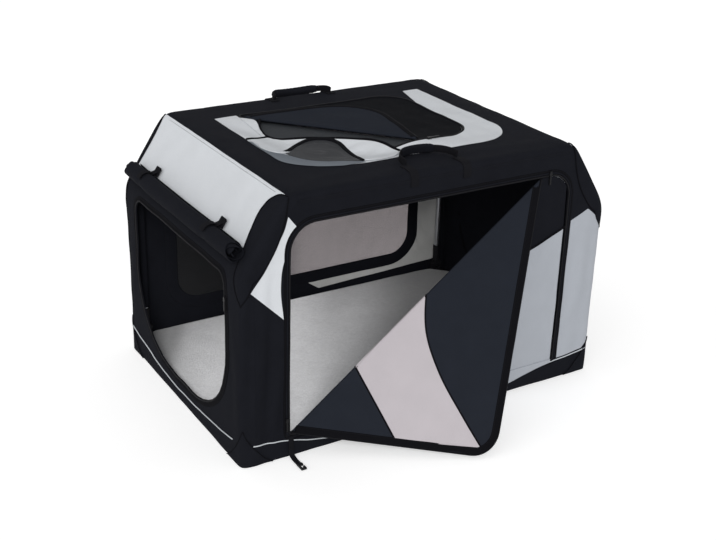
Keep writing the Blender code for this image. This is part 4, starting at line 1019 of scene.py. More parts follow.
def corner_patches():
    """Patches round the four bottom corners with a cord on their rim, and bands up all corners but the right front."""
    heights = np.linspace(PATCH_HEIGHTS[0], PATCH_HEIGHTS[-1], 40)
    width = smooth_through(PATCH_HEIGHTS, PATCH_WIDTHS, heights)
    tall = np.linspace(*SEAM_BAND_HEIGHTS, 60)
    for side_x, end in SIDES:
        for side_y, face in FACES:
            points = round_corner(side_x, side_y, heights, width, width)
            corner_cloth(f"base_corner_patch_{face}_{end}", points, PATCH_LIFT, -0.0004)
            rim = np.concatenate([points[:, 0], points[::-1, -1]])
            cord(f"base_corner_patch_edge_{face}_{end}", drape(rim, PATCH_LIFT + 0.0002), 0.0009)
            if (face, end) != ("front", "right"):
                points = round_corner(side_x, side_y, tall, *SEAM_BAND_WIDTHS)
                corner_cloth(f"corner_seam_band_{face}_{end}", points, 0.0010, -0.0004)


coloured_panels()
roof_band()
corner_patches()


# Cloth turned over along a crease
FLAP_RIPPLE = 0.00022


class Fold(Surface):
    """Cloth of a panel turned about a straight crease from foot to top.

    Its distance from the crease first runs round an arc of the fold's radius through the whole turn, then
    straight on. pull shortens that distance, lean slides it back along the crease, as its weight does, and bow
    lifts the middle of its outer part."""

    def __init__(self, panel, crease, turn, radius, pull=1.0, lean=0.0, bow=0.0):
        foot, top = panel.at(np.array(crease, float))
        self.panel, self.foot, self.turn, self.radius = panel, foot, turn, radius
        self.pull, self.lean, self.bow = pull, lean, bow
        self.length = np.linalg.norm(top - foot)
        self.along = (top - foot) / self.length
        self.away = np.cross(panel.out, self.along)

    def place(self, uv, lift):
        base = self.panel.at(uv) - self.foot
        far = np.maximum(base @ self.away, 0)
        run = base @ self.along - self.lean * far
        distance = far * self.pull
        turn = np.minimum(distance / self.radius, self.turn)
        rest = np.maximum(distance - self.radius * self.turn, 0)
        ahead = self.radius * np.sin(turn) + rest * math.cos(self.turn)
        aside = self.radius * (1 - np.cos(turn)) + rest * math.sin(self.turn)
        normal = -np.sin(turn)[..., None] * self.away + np.cos(turn)[..., None] * self.panel.out
        placed = self.foot + run[..., None] * self.along + ahead[..., None] * self.away
        placed = placed + aside[..., None] * self.panel.out
        ripple = FLAP_RIPPLE * waves(uv, 11, 12, 0.07, 0.2)
        bend = self.bow * smooth_bump(run, -0.1, self.length + 0.1) * np.clip(rest / 0.2, 0, 1)
        return placed + normal * (lift + bend + ripple * np.clip(distance / 0.03, 0, 1))[..., None]


DOOR_FOLD = Fold(FRONT, DOOR_CREASE, DOOR_TURN, 0.0022, 0.93, 0.038, -0.003)
HATCH_FOLD = Fold(ROOF, HATCH_CREASE, HATCH_TURN, 0.0020, 0.96, bow=0.017)

# Side door: the lower edge and the curved upper edge of its light band, as (x, z)
BAND_LOW = ((-0.345, 0.298), (-0.190, 0.1698), (0.035, 0.053))
BAND_HIGH = ((-0.345, 0.4965), (-0.27, 0.430), (-0.18, 0.357), (-0.10, 0.314), (-0.030, 0.300), (0.021, 0.298),
             (0.14, 0.320), (0.244, 0.348), (0.345, 0.388))
BAND_FOOT_X = BAND_LOW[-1][0]
FLAP_BIND = 0.016
BAND_CLEAR = 0.0145
BAND_EDGE = 0.0024


def crease_height(x):
    (foot_x, foot_z), (top_x, top_z) = DOOR_CREASE
    return foot_z + (x - foot_x) * (top_z - foot_z) / (top_x - foot_x)


def band_low(x):
    return np.interp(x, *np.array(BAND_LOW).T)


def band_high(x):
    return smooth_through(*np.array(BAND_HIGH).T, x)


def door_limits(x, grow):
    """Lowest and highest z of the door's outline at x."""
    loop = rounded(DOOR, grow)
    is_upper = loop[:, 1] > (DOOR_LOW + DOOR_HIGH) / 2
    halves = (half[np.argsort(half[:, 0])] for half in (loop[~is_upper], loop[is_upper]))
    return [np.interp(x, half[:, 0], half[:, 1]) for half in halves]


def cross_of(height):
    """x where the crease meets a curve of the band, by halving."""
    low, high = -0.34, 0.26
    for _ in range(40):
        middle = (low + high) / 2
        if crease_height(middle) < height(middle):
            low = middle
        else:
            high = middle
    return (low + high) / 2


CROSS_LOW = cross_of(band_low)
CROSS_HIGH = cross_of(band_high)


def band_edges(name, surface, low_x, high_x, top, bottom, body="base"):
    """Bound edges of the door's light band: its lower side over low_x, and its upper side over high_x."""
    for side, x, height in (("low", low_x, band_low), ("high", high_x, band_high)):
        edge = ribbon(f"{name}_{side}", surface, level(x, height(x)), -BAND_EDGE, BAND_EDGE, top, bottom)
        dress(edge, BINDING, body)


def door_lower():
    """Part of the side door that stays zipped: below the crease, with its part of the light band."""
    right = DOOR_RIGHT - RIM_GAP
    x = steps(DOOR_LEFT + 0.004, right, 130, DOOR_CREASE[1][0])
    low, high = door_limits(x, -RIM_GAP)
    lower = FRONT.cloth("side_door_lower", upright(x, low, np.minimum(high, crease_height(x)), 60), -0.0004)
    dress(lower, BLACK, nodes=["front_door_lower"])
    x = steps(CROSS_LOW, right - 0.004, 110, BAND_FOOT_X, CROSS_HIGH)
    low = np.maximum(band_low(x), door_limits(x, -RIM_GAP)[0])
    band_grid = upright(x, low, np.minimum(band_high(x), crease_height(x)), 40)
    # The door's band is the light grey painted darker, as painted shade
    dress(FRONT.cloth("side_door_lower_band", band_grid, LAYER, LAYER), GREY_PAINTED_FALLOFF)
    band_edges("side_door_band_edge", FRONT, np.linspace(CROSS_LOW, BAND_FOOT_X - 0.002, 60),
               np.linspace(CROSS_HIGH, right, 90), 0.0018, 0.0)


def door_flap():
    """Part of the side door that is turned over: above the crease, with the light band on both of its faces."""
    x = steps(DOOR_LEFT + RIM_GAP, DOOR_CREASE[1][0], 150, DOOR_LEFT + 0.02)
    crease = crease_height(x)
    grid = upright(x, crease, np.maximum(door_limits(x, -RIM_GAP)[1], crease + 1e-5), 90, 1.5)
    flap = DOOR_FOLD.cloth("side_door_flap_cloth", grid, 0.0, FLAP_CLOTH)
    dress(flap, BLACK, "side_door_flap", ["front_door_flap"], inside=INNER_BLACK)
    start = DOOR_LEFT + BAND_CLEAR
    x = steps(start, CROSS_HIGH, 90, CROSS_LOW)
    crease = crease_height(x)
    high = np.minimum(np.maximum(band_high(x), crease), door_limits(x, -BAND_CLEAR)[1])
    inner_band = upright(x, np.maximum(band_low(x), crease), high, 50)
    # The outer band is the light grey painted darker, as painted shade
    for name, lift, material in (("side_door_inner_band", -FLAP_CLOTH, WARM_GREY),
                                 ("side_door_outer_band", 0.0008, GREY_PAINTED_FALLOFF)):
        dress(DOOR_FOLD.cloth(name, inner_band, lift, 0.0008), material, "side_door_flap")
    band_edges("side_door_flap_band_edge", DOOR_FOLD, np.linspace(start, CROSS_LOW, 60),
               np.linspace(start, CROSS_HIGH, 90), 0.0016, -FLAP_CLOTH - 0.0016, "side_door_flap")


def flap_binding():
    """Tape round the flap's free edge, wrapping it, with half of the zip's coil on the rim and its stitches."""
    foot, top = DOOR_CREASE
    rim = loop_part(rounded(DOOR, -RIM_GAP), top, foot, 260)
    tape = ribbon("side_door_flap_binding", DOOR_FOLD, rim, -FLAP_BIND, 0.0004, 0.0014, -FLAP_CLOTH - 0.0013)
    dress(tape, BINDING, "side_door_flap")
    coil = ribbon("side_door_flap_coil", DOOR_FOLD, rim[2:-2], -0.0002, 0.0024, 0.0002, -FLAP_CLOTH - 0.0002)
    dress(coil, COIL, "side_door_flap")
    inset = loop_part(rounded(DOOR, -FLAP_BIND + 0.0015), (top[0] - 0.02, DOOR_HIGH - FLAP_BIND),
                      (DOOR_LEFT + FLAP_BIND, foot[1] + 0.03), 400)
    for name, lift, outward in (("inner", -FLAP_CLOTH - 0.0013, -1), ("outer", 0.0014, 1)):
        stitches(f"side_door_flap_stitches_{name}", DOOR_FOLD, [inset], lift, "side_door_flap", outward)


door_lower()
door_flap()
flap_binding()


# Bound openings and their zips
COIL_HALF = 0.0019
WINDOW_FRAME_IN = -0.0026
WINDOW_COVER_GROW = 0.026


def bound(name, panel, corners, inner, outer, nodes=(), top=TRIM):
    """Zip tape round an opening, the coil half along its inner edge, and a row of stitches by its outer edge."""
    dress(band(f"{name}_tape", panel, corners, inner, outer, top), BINDING, nodes=nodes)
    middle = inner + COIL_HALF + 0.0006
    coil = ribbon(f"{name}_coil", panel, rounded(corners, middle), -COIL_HALF, COIL_HALF, top + 0.0013, 0.0, True)
    dress(coil, COIL)
    stitches(f"{name}_stitches", panel, [closed_up(rounded(corners, outer - 0.0022))], top - 0.0001)


def door_bands():
    """Zip tapes of the four openings, the ridge in the side door's tape, and the rear window's inner frame."""
    bound("side_door_zip", FRONT, DOOR, 0.0, 0.0150, ["front_zip_tape"])
    ridge = ribbon("side_door_zip_ridge", FRONT, rounded(DOOR, 0.0075), -0.0016, 0.0016, TRIM + 0.0011, 0.0, True)
    dress(ridge, BLACK)
    bound("left_end_zip", LEFT, END, 0.0, 0.015, ["left_zip_tape"])
    bound("right_end_zip", RIGHT, END, -0.008, 0.012, ["right_zip_tape"], 2 * TRIM)
    bound("roof_hatch_zip", ROOF, HATCH, 0.0, 0.0065, ["hatch_zip_tape"])
    dress(band("rear_window_frame", REAR, WINDOW, -0.001, 0.030, 0.0005, WINDOW_FRAME_IN), BLACK)
    for name, grow in (("inner", 0.003), ("outer", 0.027)):
        stitches(f"rear_window_frame_stitches_{name}", REAR, [closed_up(rounded(WINDOW, grow))], WINDOW_FRAME_IN,
                 outward=-1)


def closed_openings():
    """Cloths that close the right doorway and the rear window."""
    door = RIGHT.cloth("right_end_door_cloth", filled(rounded(END, -RIM_GAP)), -0.0006, wrap=True)
    dress(door, BLACK, nodes=["right_end_door"])
    net = REAR.cloth("rear_window_net", filled(rounded(WINDOW, -RIM_GAP)), -0.0014, 0.0006, True)
    dress(net, NET, nodes=["rear_window_mesh"])
    # The cover's inner face is the thin lining, with its painted glow and painted shade
    cover = REAR.cloth("rear_window_flap", filled(rounded(WINDOW, WINDOW_COVER_GROW)), 0.0030, 0.0014, True)
    dress(cover, GREY, nodes=["rear_window_cover"], inside=LINING)
    bound("rear_window_cover_zip", REAR, WINDOW, 0.016, 0.0275, top=0.0044)


door_bands()
closed_openings()


# Roof hatch: free edge of the net, the half-round net flap's free and sewn sides, then for each loose light cloth and
# for the mid-grey strip of painted shade its two long sides, and the bound slit
NET_EDGE = ((-0.184, 0.149), (-0.201, 0.121), (-0.210, 0.091), (-0.213, 0.062), (-0.203, 0.043), (-0.178, 0.028),
            (-0.154, 0.0145), (-0.131, 0.0015), (-0.108, -0.015), (-0.085, -0.031), (-0.057, -0.056), (-0.031, -0.080),
            (-0.016, -0.105), (-0.009, -0.134), (-0.006, -0.156))
NET_ARC = ((-0.2332, -0.067), (-0.197, -0.030), (-0.165, -0.0066), (-0.139, -0.004), (-0.120, -0.0115),
           (-0.104, -0.026), (-0.095, -0.049), (-0.0957, -0.080), (-0.100, -0.117), (-0.120, -0.192))
NET_BASE = ((-0.2332, -0.067), (-0.2290, -0.097), (-0.205, -0.130), (-0.160, -0.163), (-0.120, -0.192))
LOOSE_CLOTHS = {
    "upper": (((-0.2225, 0.170), (-0.2225, 0.140), (-0.2225, 0.100), (-0.2225, 0.056)),
              ((-0.214, 0.168), (-0.200, 0.148), (-0.203, 0.121), (-0.2115, 0.091), (-0.2155, 0.060))),
    "left": (((-0.270, 0.028), (-0.250, 0.031), (-0.229, 0.045), (-0.214, 0.050), (-0.203, 0.038), (-0.178, 0.0235),
              (-0.154, 0.010), (-0.131, -0.003), (-0.120, -0.010)),
             ((-0.2675, 0.002), (-0.2705, -0.0345), (-0.2636, -0.0578), (-0.240, -0.071), (-0.2312, -0.069),
              (-0.197, -0.030), (-0.165, -0.0066), (-0.139, -0.004), (-0.122, -0.0108))),
    "right": (((-0.114, -0.0135), (-0.085, -0.035), (-0.057, -0.060), (-0.034, -0.0835), (-0.020, -0.108),
               (-0.013, -0.136), (-0.011, -0.156), (-0.030, -0.186)),
              ((-0.112, -0.0195), (-0.101, -0.031), (-0.094, -0.050), (-0.0945, -0.080), (-0.0985, -0.117),
               (-0.1165, -0.184), (-0.088, -0.2015), (-0.050, -0.2015))),
}
PAINTED_SHADE_STRIP = (((-0.2735, 0.022), (-0.2745, -0.015), (-0.2750, -0.058), (-0.2700, -0.135), (-0.2320, -0.178),
                 (-0.1838, -0.2022), (-0.118, -0.2040)),
                ((-0.2690, 0.014), (-0.2705, -0.0345), (-0.2636, -0.0578), (-0.240, -0.0745), (-0.229, -0.097),
                 (-0.205, -0.130), (-0.160, -0.163), (-0.120, -0.192)))
SLIT = ((-0.2735, 0.034), (-0.250, 0.036), (-0.228, 0.050), (-0.213, 0.056))
NET_CLOTH = 0.0006
NET_LIFT = -0.0058
NET_DOME = 0.004


def hatch_cover():
    """Zipped part of the hatch's cover, and the corner that is turned over along its crease, with its zip half."""
    line = evenly(HATCH_CREASE, 130)
    outline = rounded(HATCH, -RIM_GAP)
    rim = loop_part(outline, HATCH_FOOT, HATCH_TOP, 130)
    fixed = ROOF.cloth("roof_hatch_fixed_cover", between(line, rim, 60), -0.0002)
    dress(fixed, HATCH_BLACK, nodes=["hatch_cover_fixed"])
    rim = loop_part(outline, HATCH_TOP, HATCH_FOOT, 130)
    flap = HATCH_FOLD.cloth("roof_hatch_flap_cloth", between(line[::-1], rim, 60, 1.5), 0.0, FLAP_CLOTH)
    dress(flap, HATCH_BLACK, "hatch_flap", ["hatch_cover_flap"], inside=INNER_BLACK)
    tape = ribbon("roof_hatch_flap_binding", HATCH_FOLD, rim, -0.011, 0.0002, 0.0008, -FLAP_CLOTH - 0.0010)
    dress(tape, BINDING, "hatch_flap")
    coil = ribbon("roof_hatch_flap_coil", HATCH_FOLD, rim[2:-2], -0.0002, 0.0022, 0.0002, -FLAP_CLOTH - 0.0002)
    dress(coil, COIL, "hatch_flap")


def hatch_net():
    """Net under the hatch with its bound free edge, the loose light cloths, and beside it a mid-grey strip that is
    painted shade.
    """
    edge = evenly(through(NET_EDGE, 200), 140)
    far = loop_part(rounded(HATCH, -0.006), HATCH_FOOT, HATCH_TOP, 140)[::-1]
    net = ROOF.cloth("roof_hatch_net", between(edge, far, 50), NET_LIFT, NET_CLOTH)
    dress(net, ROOF_NET, nodes=["hatch_mesh"])
    dress(ribbon("roof_hatch_net_binding", ROOF, edge, -0.0045, 0.0035, 0.0044, NET_LIFT - 0.0016), BINDING)
    for name, long_sides in LOOSE_CLOTHS.items():
        grid = between(*[evenly(through(side, 120), 80) for side in long_sides], 40)
        folds = np.clip(0.0009 * waves(grid, 41, 6, 0.035, 0.09), 0, 0.004)
        dress(ROOF.cloth(f"roof_loose_cloth_{name}", grid, 0.0030, 0.0010, puff=folds), GREY)
    # Painted shade: a mid-grey strip where the light band lies in shade by the slit
    grid = between(*[evenly(through(side, 160), 110) for side in PAINTED_SHADE_STRIP], 14)
    dress(ROOF.cloth("roof_hatch_painted_shade_strip", grid, 0.0020, 0.0008), GREY_PAINTED_SHADE)
    slit = evenly(through(SLIT, 60), 40)
    dress(ribbon("roof_slit_binding", ROOF, slit, -0.0024, 0.0024, 0.0046, 0.0012), BINDING)


def net_flap():
    """Half-round net: its straight side is sewn, and the net domes up between it and its bound free edge."""
    base, arc = (evenly(through(side, 160), 90) for side in (NET_BASE, NET_ARC))
    dome = NET_DOME * np.sin(np.linspace(0, math.pi, 90))[:, None] * np.sin(np.linspace(0, math.pi, 30))
    net = ROOF.cloth("roof_net_flap", between(base, arc, 30), 0.0026, NET_CLOTH, puff=dome)
    dress(net, FLAP_NET, "mesh_flap", ["hatch_mesh_flap"])
    bound_edge = ribbon("roof_net_flap_binding", ROOF, arc[1:-1], -0.0065, 0.0030, 0.0052, 0.0012)
    dress(bound_edge, BINDING, "mesh_flap")


hatch_cover()
hatch_net()
net_flap()


# Mat
MAT_LOW, MAT_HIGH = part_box("fleece_mat")
MAT_CUT = 0.040
MAT_ROUND = 0.018


def mat():
    """Pad with cut-off corners and a flat top that falls to its edge as a quarter-round."""
    far_x, far_y = MAT_HIGH.x, MAT_HIGH.y
    corners = [(x, y, MAT_ROUND) for x, y in (
        (-far_x + MAT_CUT, -far_y), (far_x - MAT_CUT, -far_y), (far_x, -far_y + MAT_CUT), (far_x, far_y - MAT_CUT),
        (far_x - MAT_CUT, far_y), (-far_x + MAT_CUT, far_y), (-far_x, far_y - MAT_CUT), (-far_x, -far_y + MAT_CUT))]
    share = 1 - (1 - np.linspace(0, 1, 70)) ** 1.6
    loop = rounded(corners, -0.002, 6, 22)
    uv = loop[:, None] * (1 - share[None, :, None] * 0.998)
    inset = np.abs(loop).max() * share
    half = (MAT_HIGH.z - MAT_LOW.z) / 2
    rim = np.sqrt(np.clip(1 - np.clip(1 - inset / half, 0, 1) ** 2, 0, 1))[None]
    bumps = 0.00010 * waves(np.dstack([uv, np.zeros(uv.shape[:2])]), 5, 30, 0.03, 0.16) * rim
    middle = MAT_LOW.z + half
    top = middle + half * rim * 0.85 + bumps
    low = np.broadcast_to(middle - half * rim * 0.9, top.shape)
    piece = skin("fleece_mat_pad", np.dstack([uv, top]), np.dstack([uv, low]), uv, True)
    dress(piece, FLEECE, nodes=["fleece_mat"], fold=False)


mat()


# Rolled-up end door on the left slope, and its two straps
ROLL_MIDDLE = (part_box("rolled_end_door")[0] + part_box("rolled_end_door")[1]) / 2
ROLL_HALF = 0.267
ROLL_OUTER = 0.0205
ROLL_INNER = 0.0065
ROLL_TURNS = 4.1
ROLL_START = math.radians(-60)
ROLL_CLOTH = 0.0016
ROLL_DROOP = 0.0022
ROLL_ALONG = 1.04
ROLL_FLATTENED = 0.98
STRAP_PLACES = (("front", -0.155), ("rear", 0.182))
STRAP_HALF = 0.0085
STRAP_REACH = math.radians(97)
TAB_WIDE = 0.0125


def roll_point(turn, y, radius):
    """Place at an angle round the roll, from the slope's upward direction towards its outward one."""
    droop = ROLL_DROOP * (1 - (y / ROLL_HALF) ** 2)
    centre = np.stack([ROLL_MIDDLE.x + 0 * y, y, ROLL_MIDDLE.z - droop], -1)
    up, out = LEFT_SLOPE.up * ROLL_ALONG, LEFT_SLOPE.out * ROLL_FLATTENED
    return centre + radius[..., None] * (np.cos(turn)[..., None] * up + np.sin(turn)[..., None] * out)


def rolled_door():
    """Spiral of cloth: its radius grows evenly with the angle, shrinks under the straps, and wanders a little."""
    share = np.linspace(0, 1, 150)
    turn = (share * ROLL_TURNS * 2 * math.pi + ROLL_START)[:, None]
    y = crowded(-ROLL_HALF, ROLL_HALF, 70, 1.5)
    place = np.stack(np.broadcast_arrays(np.cos(turn), np.sin(turn), y[None] * 9), -1)
    squeeze = sum(np.exp(-((y - at) / 0.014) ** 2) for _, at in STRAP_PLACES)
    radius = (ROLL_INNER + (ROLL_OUTER - ROLL_INNER) * share)[:, None] * (1 - 0.10 * squeeze[None])
    radius = radius * (1 + 0.012 * waves(place * 0.1, 21, 14, 0.16, 0.5))
    turn, wide = np.broadcast_arrays(turn, y[None])
    ends = 0.010 * np.sin(turn * 1.3 + 1) * (np.abs(wide) / ROLL_HALF) ** 8 * np.sign(wide) * -1
    outer, inner = (roll_point(turn, wide + ends, size) for size in (radius, radius - ROLL_CLOTH))
    spiral = (share * (ROLL_INNER + share * (ROLL_OUTER - ROLL_INNER) / 2)) * ROLL_TURNS * 2 * math.pi
    roll = skin("rolled_end_door_cloth", outer, inner, np.stack(np.broadcast_arrays(spiral[:, None], wide), -1))
    dress(roll, BLACK, nodes=["rolled_end_door"])


def roll_straps():
    """Straps that go from the slope round the roll and back on to it, with a tab on each one's upper end."""
    up, out = LEFT_SLOPE.up, LEFT_SLOPE.out
    stand_off = (ROLL_MIDDLE.z - KNEE) * SLOPE_SIN - (ROLL_MIDDLE.x + HALF_LENGTH) * SLOPE_COS - 0.0016
    for name, at in STRAP_PLACES:
        turn = np.linspace(-STRAP_REACH, STRAP_REACH, 40)
        curve = roll_point(turn, np.full(40, at), np.full(40, ROLL_OUTER * 0.93 + 0.0016))
        on_slope = (ROLL_MIDDLE.x, at, ROLL_MIDDLE.z) - out * stand_off
        start = on_slope - up * (ROLL_OUTER * ROLL_ALONG + 0.004)
        end = on_slope + up * (ROLL_OUTER * ROLL_ALONG + 0.013)
        path = evenly(np.concatenate([[start, (start + curve[0]) / 2 - up * 0.001], curve,
                                      [(curve[-1] + end) / 2 - up * 0.002, end]]), 60)
        strap = strip(f"roll_strap_{name}", sweep(path, strap_section(STRAP_HALF, 0.0008), (0, 1, 0)))
        dress(strap, WEBBING, nodes=[f"roll_toggle_{name}"])
        line = evenly(np.stack([end - up * 0.017 + out * 0.0040, end + up * 0.004 + out * 0.0046]), 24)
        shape = strap_section(TAB_WIDE, 0.0012, 4)[None] * (1 - 0.12 * np.linspace(0, 1, 24) ** 6)[:, None, None]
        dress(strip(f"roll_toggle_tab_{name}", sweep(line, shape, (0, 1, 0))), WEBBING)


# Carry handles. For each its face and side, lean, sag and fullness, half span and middle, half the thickness of its
# padding, and the angle in degrees at which that starts
HANDLE_REACH = 0.066
HANDLE_SAG_POWER = 1.4
HANDLE_EDGE = 0.268
HANDLE_Z = 0.5884
HANDLES = (("front", -1, (8.0, 0.009, 0.8), 0.0635, 0.0, 0.0046, 50),
           ("rear", 1, (158.0, 0.036, 1.0), 0.0745, -0.009, 0.0088, 38))
# Their sewn ends: reach on the roof and down the wall, half width, and the stitched box
TAB_ON_ROOF = 0.042
TAB_ON_WALL = 0.030
TAB_HALF = 0.0095
TAB_BOX_HALF = 0.0075
TAB_BOX = np.array([(-1, 0.038), (1, 0.038), (1, 0.012), (-1, 0.012), (-1, 0.038)])


def handle_line(side_y, shape, half, middle, start_deg, count):
    """Loop in its own plane: u = middle - half * cos(a), v = reach * sin(a) ** fullness; it sags with a power of v."""
    lean_deg, sag, fullness = shape
    turn = np.linspace(math.radians(start_deg), math.radians(180 - start_deg), count)
    u = middle - half * np.cos(turn)
    v = HANDLE_REACH * np.clip(np.sin(turn), 0, 1) ** fullness
    lean = math.radians(lean_deg)
    away = np.array([0, -side_y * math.cos(lean), math.sin(lean)])
    line = np.array([0, side_y * HANDLE_EDGE, HANDLE_Z]) + u[:, None] * np.array([1.0, 0, 0]) + v[:, None] * away
    line = line - (v / HANDLE_REACH)[:, None] ** HANDLE_SAG_POWER * np.array([0, 0, sag])
    return line, np.cross((1.0, 0, 0), away)


def handle_tab(name, x, side_y):
    """End of the handle's webbing: sewn flat on the roof, and over its edge down the wall."""
    run = np.linspace(-TAB_ON_ROOF, TAB_ON_WALL, 60)
    middle = np.stack([np.full(60, x), side_y * (HALF_WIDTH + np.minimum(run, 0)), HEIGHT - np.maximum(run, 0)], 1)
    points = middle[:, None] + np.linspace(-TAB_HALF, TAB_HALF, 9)[None, :, None] * np.array([1.0, 0, 0])
    uv = np.stack(np.broadcast_arrays(points[..., 0], run[:, None]), -1)
    dress(skin(name, drape(points, 0.0026), drape(points, 0.0), uv), WEBBING)
    box = np.stack([x + TAB_BOX_HALF * TAB_BOX[:, 0], side_y * (HALF_WIDTH - TAB_BOX[:, 1])], 1)
    stitches(f"{name}_stitches", ROOF, [evenly(path, 30) for path in (box, box[[0, 2]], box[[1, 3]])], 0.0025)


def handles():
    """Webbing loops with a padded sleeve that thins at both ends, and their sewn ends."""
    for face, side_y, shape, half, middle, padding, bare in HANDLES:
        line, normal = handle_line(side_y, shape, half, middle, 0, 160)
        strap = strip(f"{face}_handle_webbing", sweep(evenly(line, 110), strap_section(0.0078, 0.0013), normal))
        dress(strap, WEBBING, f"handle_{face}", [f"{face}_handle"])
        line, normal = handle_line(side_y, shape, half, middle, bare, 70)
        share = np.linspace(-1, 1, 70)
        swell = (1 - np.abs(share) ** 10) * 0.35 + 0.65 + 0.02 * np.cos(share * 40)
        section = strap_section(0.0102, padding, 6)[None] * swell[:, None, None]
        wrap = strip(f"{face}_handle_sleeve", sweep(line, section, normal))
        dress(wrap, BLACK, f"handle_{face}", [f"{face}_handle_wrap"])
        for side_x, end in SIDES:
            handle_tab(f"{face}_handle_tab_{end}", middle + side_x * (half + 0.001), side_y)


def tether():
    """Strap that hangs down the wall from its sewn patch, and turns out along the ground."""
    low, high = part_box("tether_strap")
    x, wall, ground = (low.x + high.x) / 2, high.y - 0.0016, low.z + 0.0014
    knots = ((x, wall, high.z), (x, wall, 0.030), (x, wall - 0.0005, 0.014), (x, wall - 0.005, ground + 0.0035),
             (x, wall - 0.014, ground + 0.0006), (x, low.y + 0.001, ground))
    strap = strip("tether_webbing", sweep(evenly(through(knots, 80), 50), strap_section(0.0060, 0.0012), (1, 0, 0)))
    dress(strap, WEBBING, "tether", ["tether_strap"], fold=False)
    patch = grid_of(np.linspace(x - 0.010, x + 0.010, 12), np.linspace(0.040, 0.060, 12))
    dress(FRONT.cloth("tether_patch", patch, 0.0016, 0.0012), WEBBING)


# Piping: its height at places along each wall
FRONT_PIPING = ((-0.430, 0.048), (-0.390, 0.045), (-0.3475, 0.039), (-0.300, 0.0265), (-0.249, 0.0175),
                (-0.150, 0.0165), (0.000, 0.0165), (0.100, 0.0165), (0.180, 0.0175), (0.215, 0.0225), (0.270, 0.0345),
                (0.320, 0.0440), (0.345, 0.0470), (0.367, 0.0490), (0.433, 0.0560), (0.447, 0.0590))
LEFT_PIPING = ((-0.300, 0.064), (-0.190, 0.0435), (-0.110, 0.031), (-0.030, 0.027), (0.060, 0.029), (0.120, 0.033),
               (0.200, 0.041), (0.262, 0.050))


def mirrored(knots):
    return [(-u, z) for u, z in knots[::-1]]


def piping():
    """Reflective cords low on the walls, rising towards the corners."""
    for name, panel, knots in (("front", FRONT, FRONT_PIPING), ("left", LEFT, LEFT_PIPING),
                               ("rear", REAR, mirrored(FRONT_PIPING)), ("right", RIGHT, mirrored(LEFT_PIPING))):
        cord(f"reflective_piping_{name}", panel.place(evenly(through(knots, 300), 200), 0.0014), 0.0013, 10,
             REFLECTIVE, ["reflective_piping"] if name == "front" else [])


def door_foot_strip():
    """Light cloth over the bottom zip: the door's band goes on down to the piping."""
    (bend_x, bend_z), (end_x, end_z) = BAND_LOW[1:]
    x = np.linspace(end_x + 0.001, DOOR_RIGHT - 0.005, 90)
    slant = end_z + (x - end_x) * (end_z - bend_z) / (end_x - bend_x)
    low = np.maximum(np.interp(x, *np.array(FRONT_PIPING).T), slant)
    # The foot strip is the light grey painted darker, as painted shade
    dress(FRONT.cloth("side_door_foot_strip", upright(x, low, end_z + 0.0018, 20), 0.0033, 0.0028), GREY_PAINTED_FALLOFF)


def bottom_cover():
    """Flat cloth under the base, with low waves."""
    low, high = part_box("base_cover")
    place = grid_of(np.linspace(low.x, high.x, 60), np.linspace(low.y, high.y, 44))
    wave = np.clip(0.0003 * waves(np.dstack([place, np.zeros(place.shape[:2])]), 31, 18, 0.05, 0.2), -0.0004, 0.0006)
    base = skin("bottom_cover_cloth", np.dstack([place, 0.0024 + wave]), np.dstack([place, 0.0006 + wave]), place)
    dress(base, BLACK, nodes=["base_cover"], fold=False)


# Sleeves on the arches' legs: the arch, its side, and the x and y that they stand at
SLEEVES = (("front", -1, 0.4396, 0.2908, SIDES), ("rear", 1, 0.4236, 0.2908, SIDES[:1]))
SLEEVE_HEIGHTS = (0.108, 0.395)
SLEEVE_RADIUS = 0.0092


def leg_sleeves():
    """Cloth sleeves round the upright parts of the arches, gathered a little along them."""
    z = np.linspace(*SLEEVE_HEIGHTS, 90)
    gather = 1 + 0.02 * np.sin(z * 260) + 0.012 * np.sin(z * 611 + 1)
    section = circle(SLEEVE_RADIUS, 20)[None] * gather[:, None, None]
    for arch, side_y, x_half, y_half, sides in SLEEVES:
        for side_x, end in sides:
            path = np.stack(np.broadcast_arrays(side_x * x_half, side_y * y_half, z), 1)
            sleeve = strip(f"leg_sleeve_{arch}_{end}", sweep(path, section, (1, 0, 0)))
            dress(sleeve, BLACK, f"{arch}_arch", fold=False)


# Lining inside the rear wall: its low line's ends, then the places in x where its wedge under the window's frame
# and its strip beside that start and end, and how steeply each is cut off
LINING_LOW = ((0.03, 0.43), (0.046, 0.060))
WEDGE_X = (0.030, 0.290, 0.292, 0.3630)
WEDGE_CUT = 0.7
STRIP_X = (0.3635, 0.434)
STRIP_TOP = 0.500
STRIP_CUT = 0.85


def rear_lining():
    """Light cloth inside the rear wall, between the window's frame, a low line and the right corner."""
    outline = rounded(WINDOW, 0.0315)
    under = outline[outline[:, 1] < 0.3]
    under = under[np.argsort(under[:, 0])]
    x = np.concatenate([np.linspace(*WEDGE_X[:2], 60), np.linspace(*WEDGE_X[2:], 50)])
    high = np.interp(x, under[:, 0], under[:, 1])
    low = np.maximum(np.interp(x, *LINING_LOW), high - 0.0005 - (x - x[0]) * WEDGE_CUT)
    wedge = upright(-x, low, high, 16)
    x = np.linspace(*STRIP_X, 16)
    side = upright(-x, np.interp(x, *LINING_LOW), STRIP_TOP - (x - x[0]) * STRIP_CUT, 70)
    for name, grid in (("wedge", wedge), ("strip", side)):
        folds = -np.clip(0.0008 * waves(grid, 51, 5, 0.04, 0.12), 0, 0.003)
        dress(REAR.cloth(f"rear_lining_{name}", grid, -0.0016, 0.0008, puff=folds), LINEN)
    for side_x, end in SIDES:
        layer(f"rear_{end}_light_panel", REAR, FRONT_LEFT_LIGHT * (side_x, 1.0), GREY)


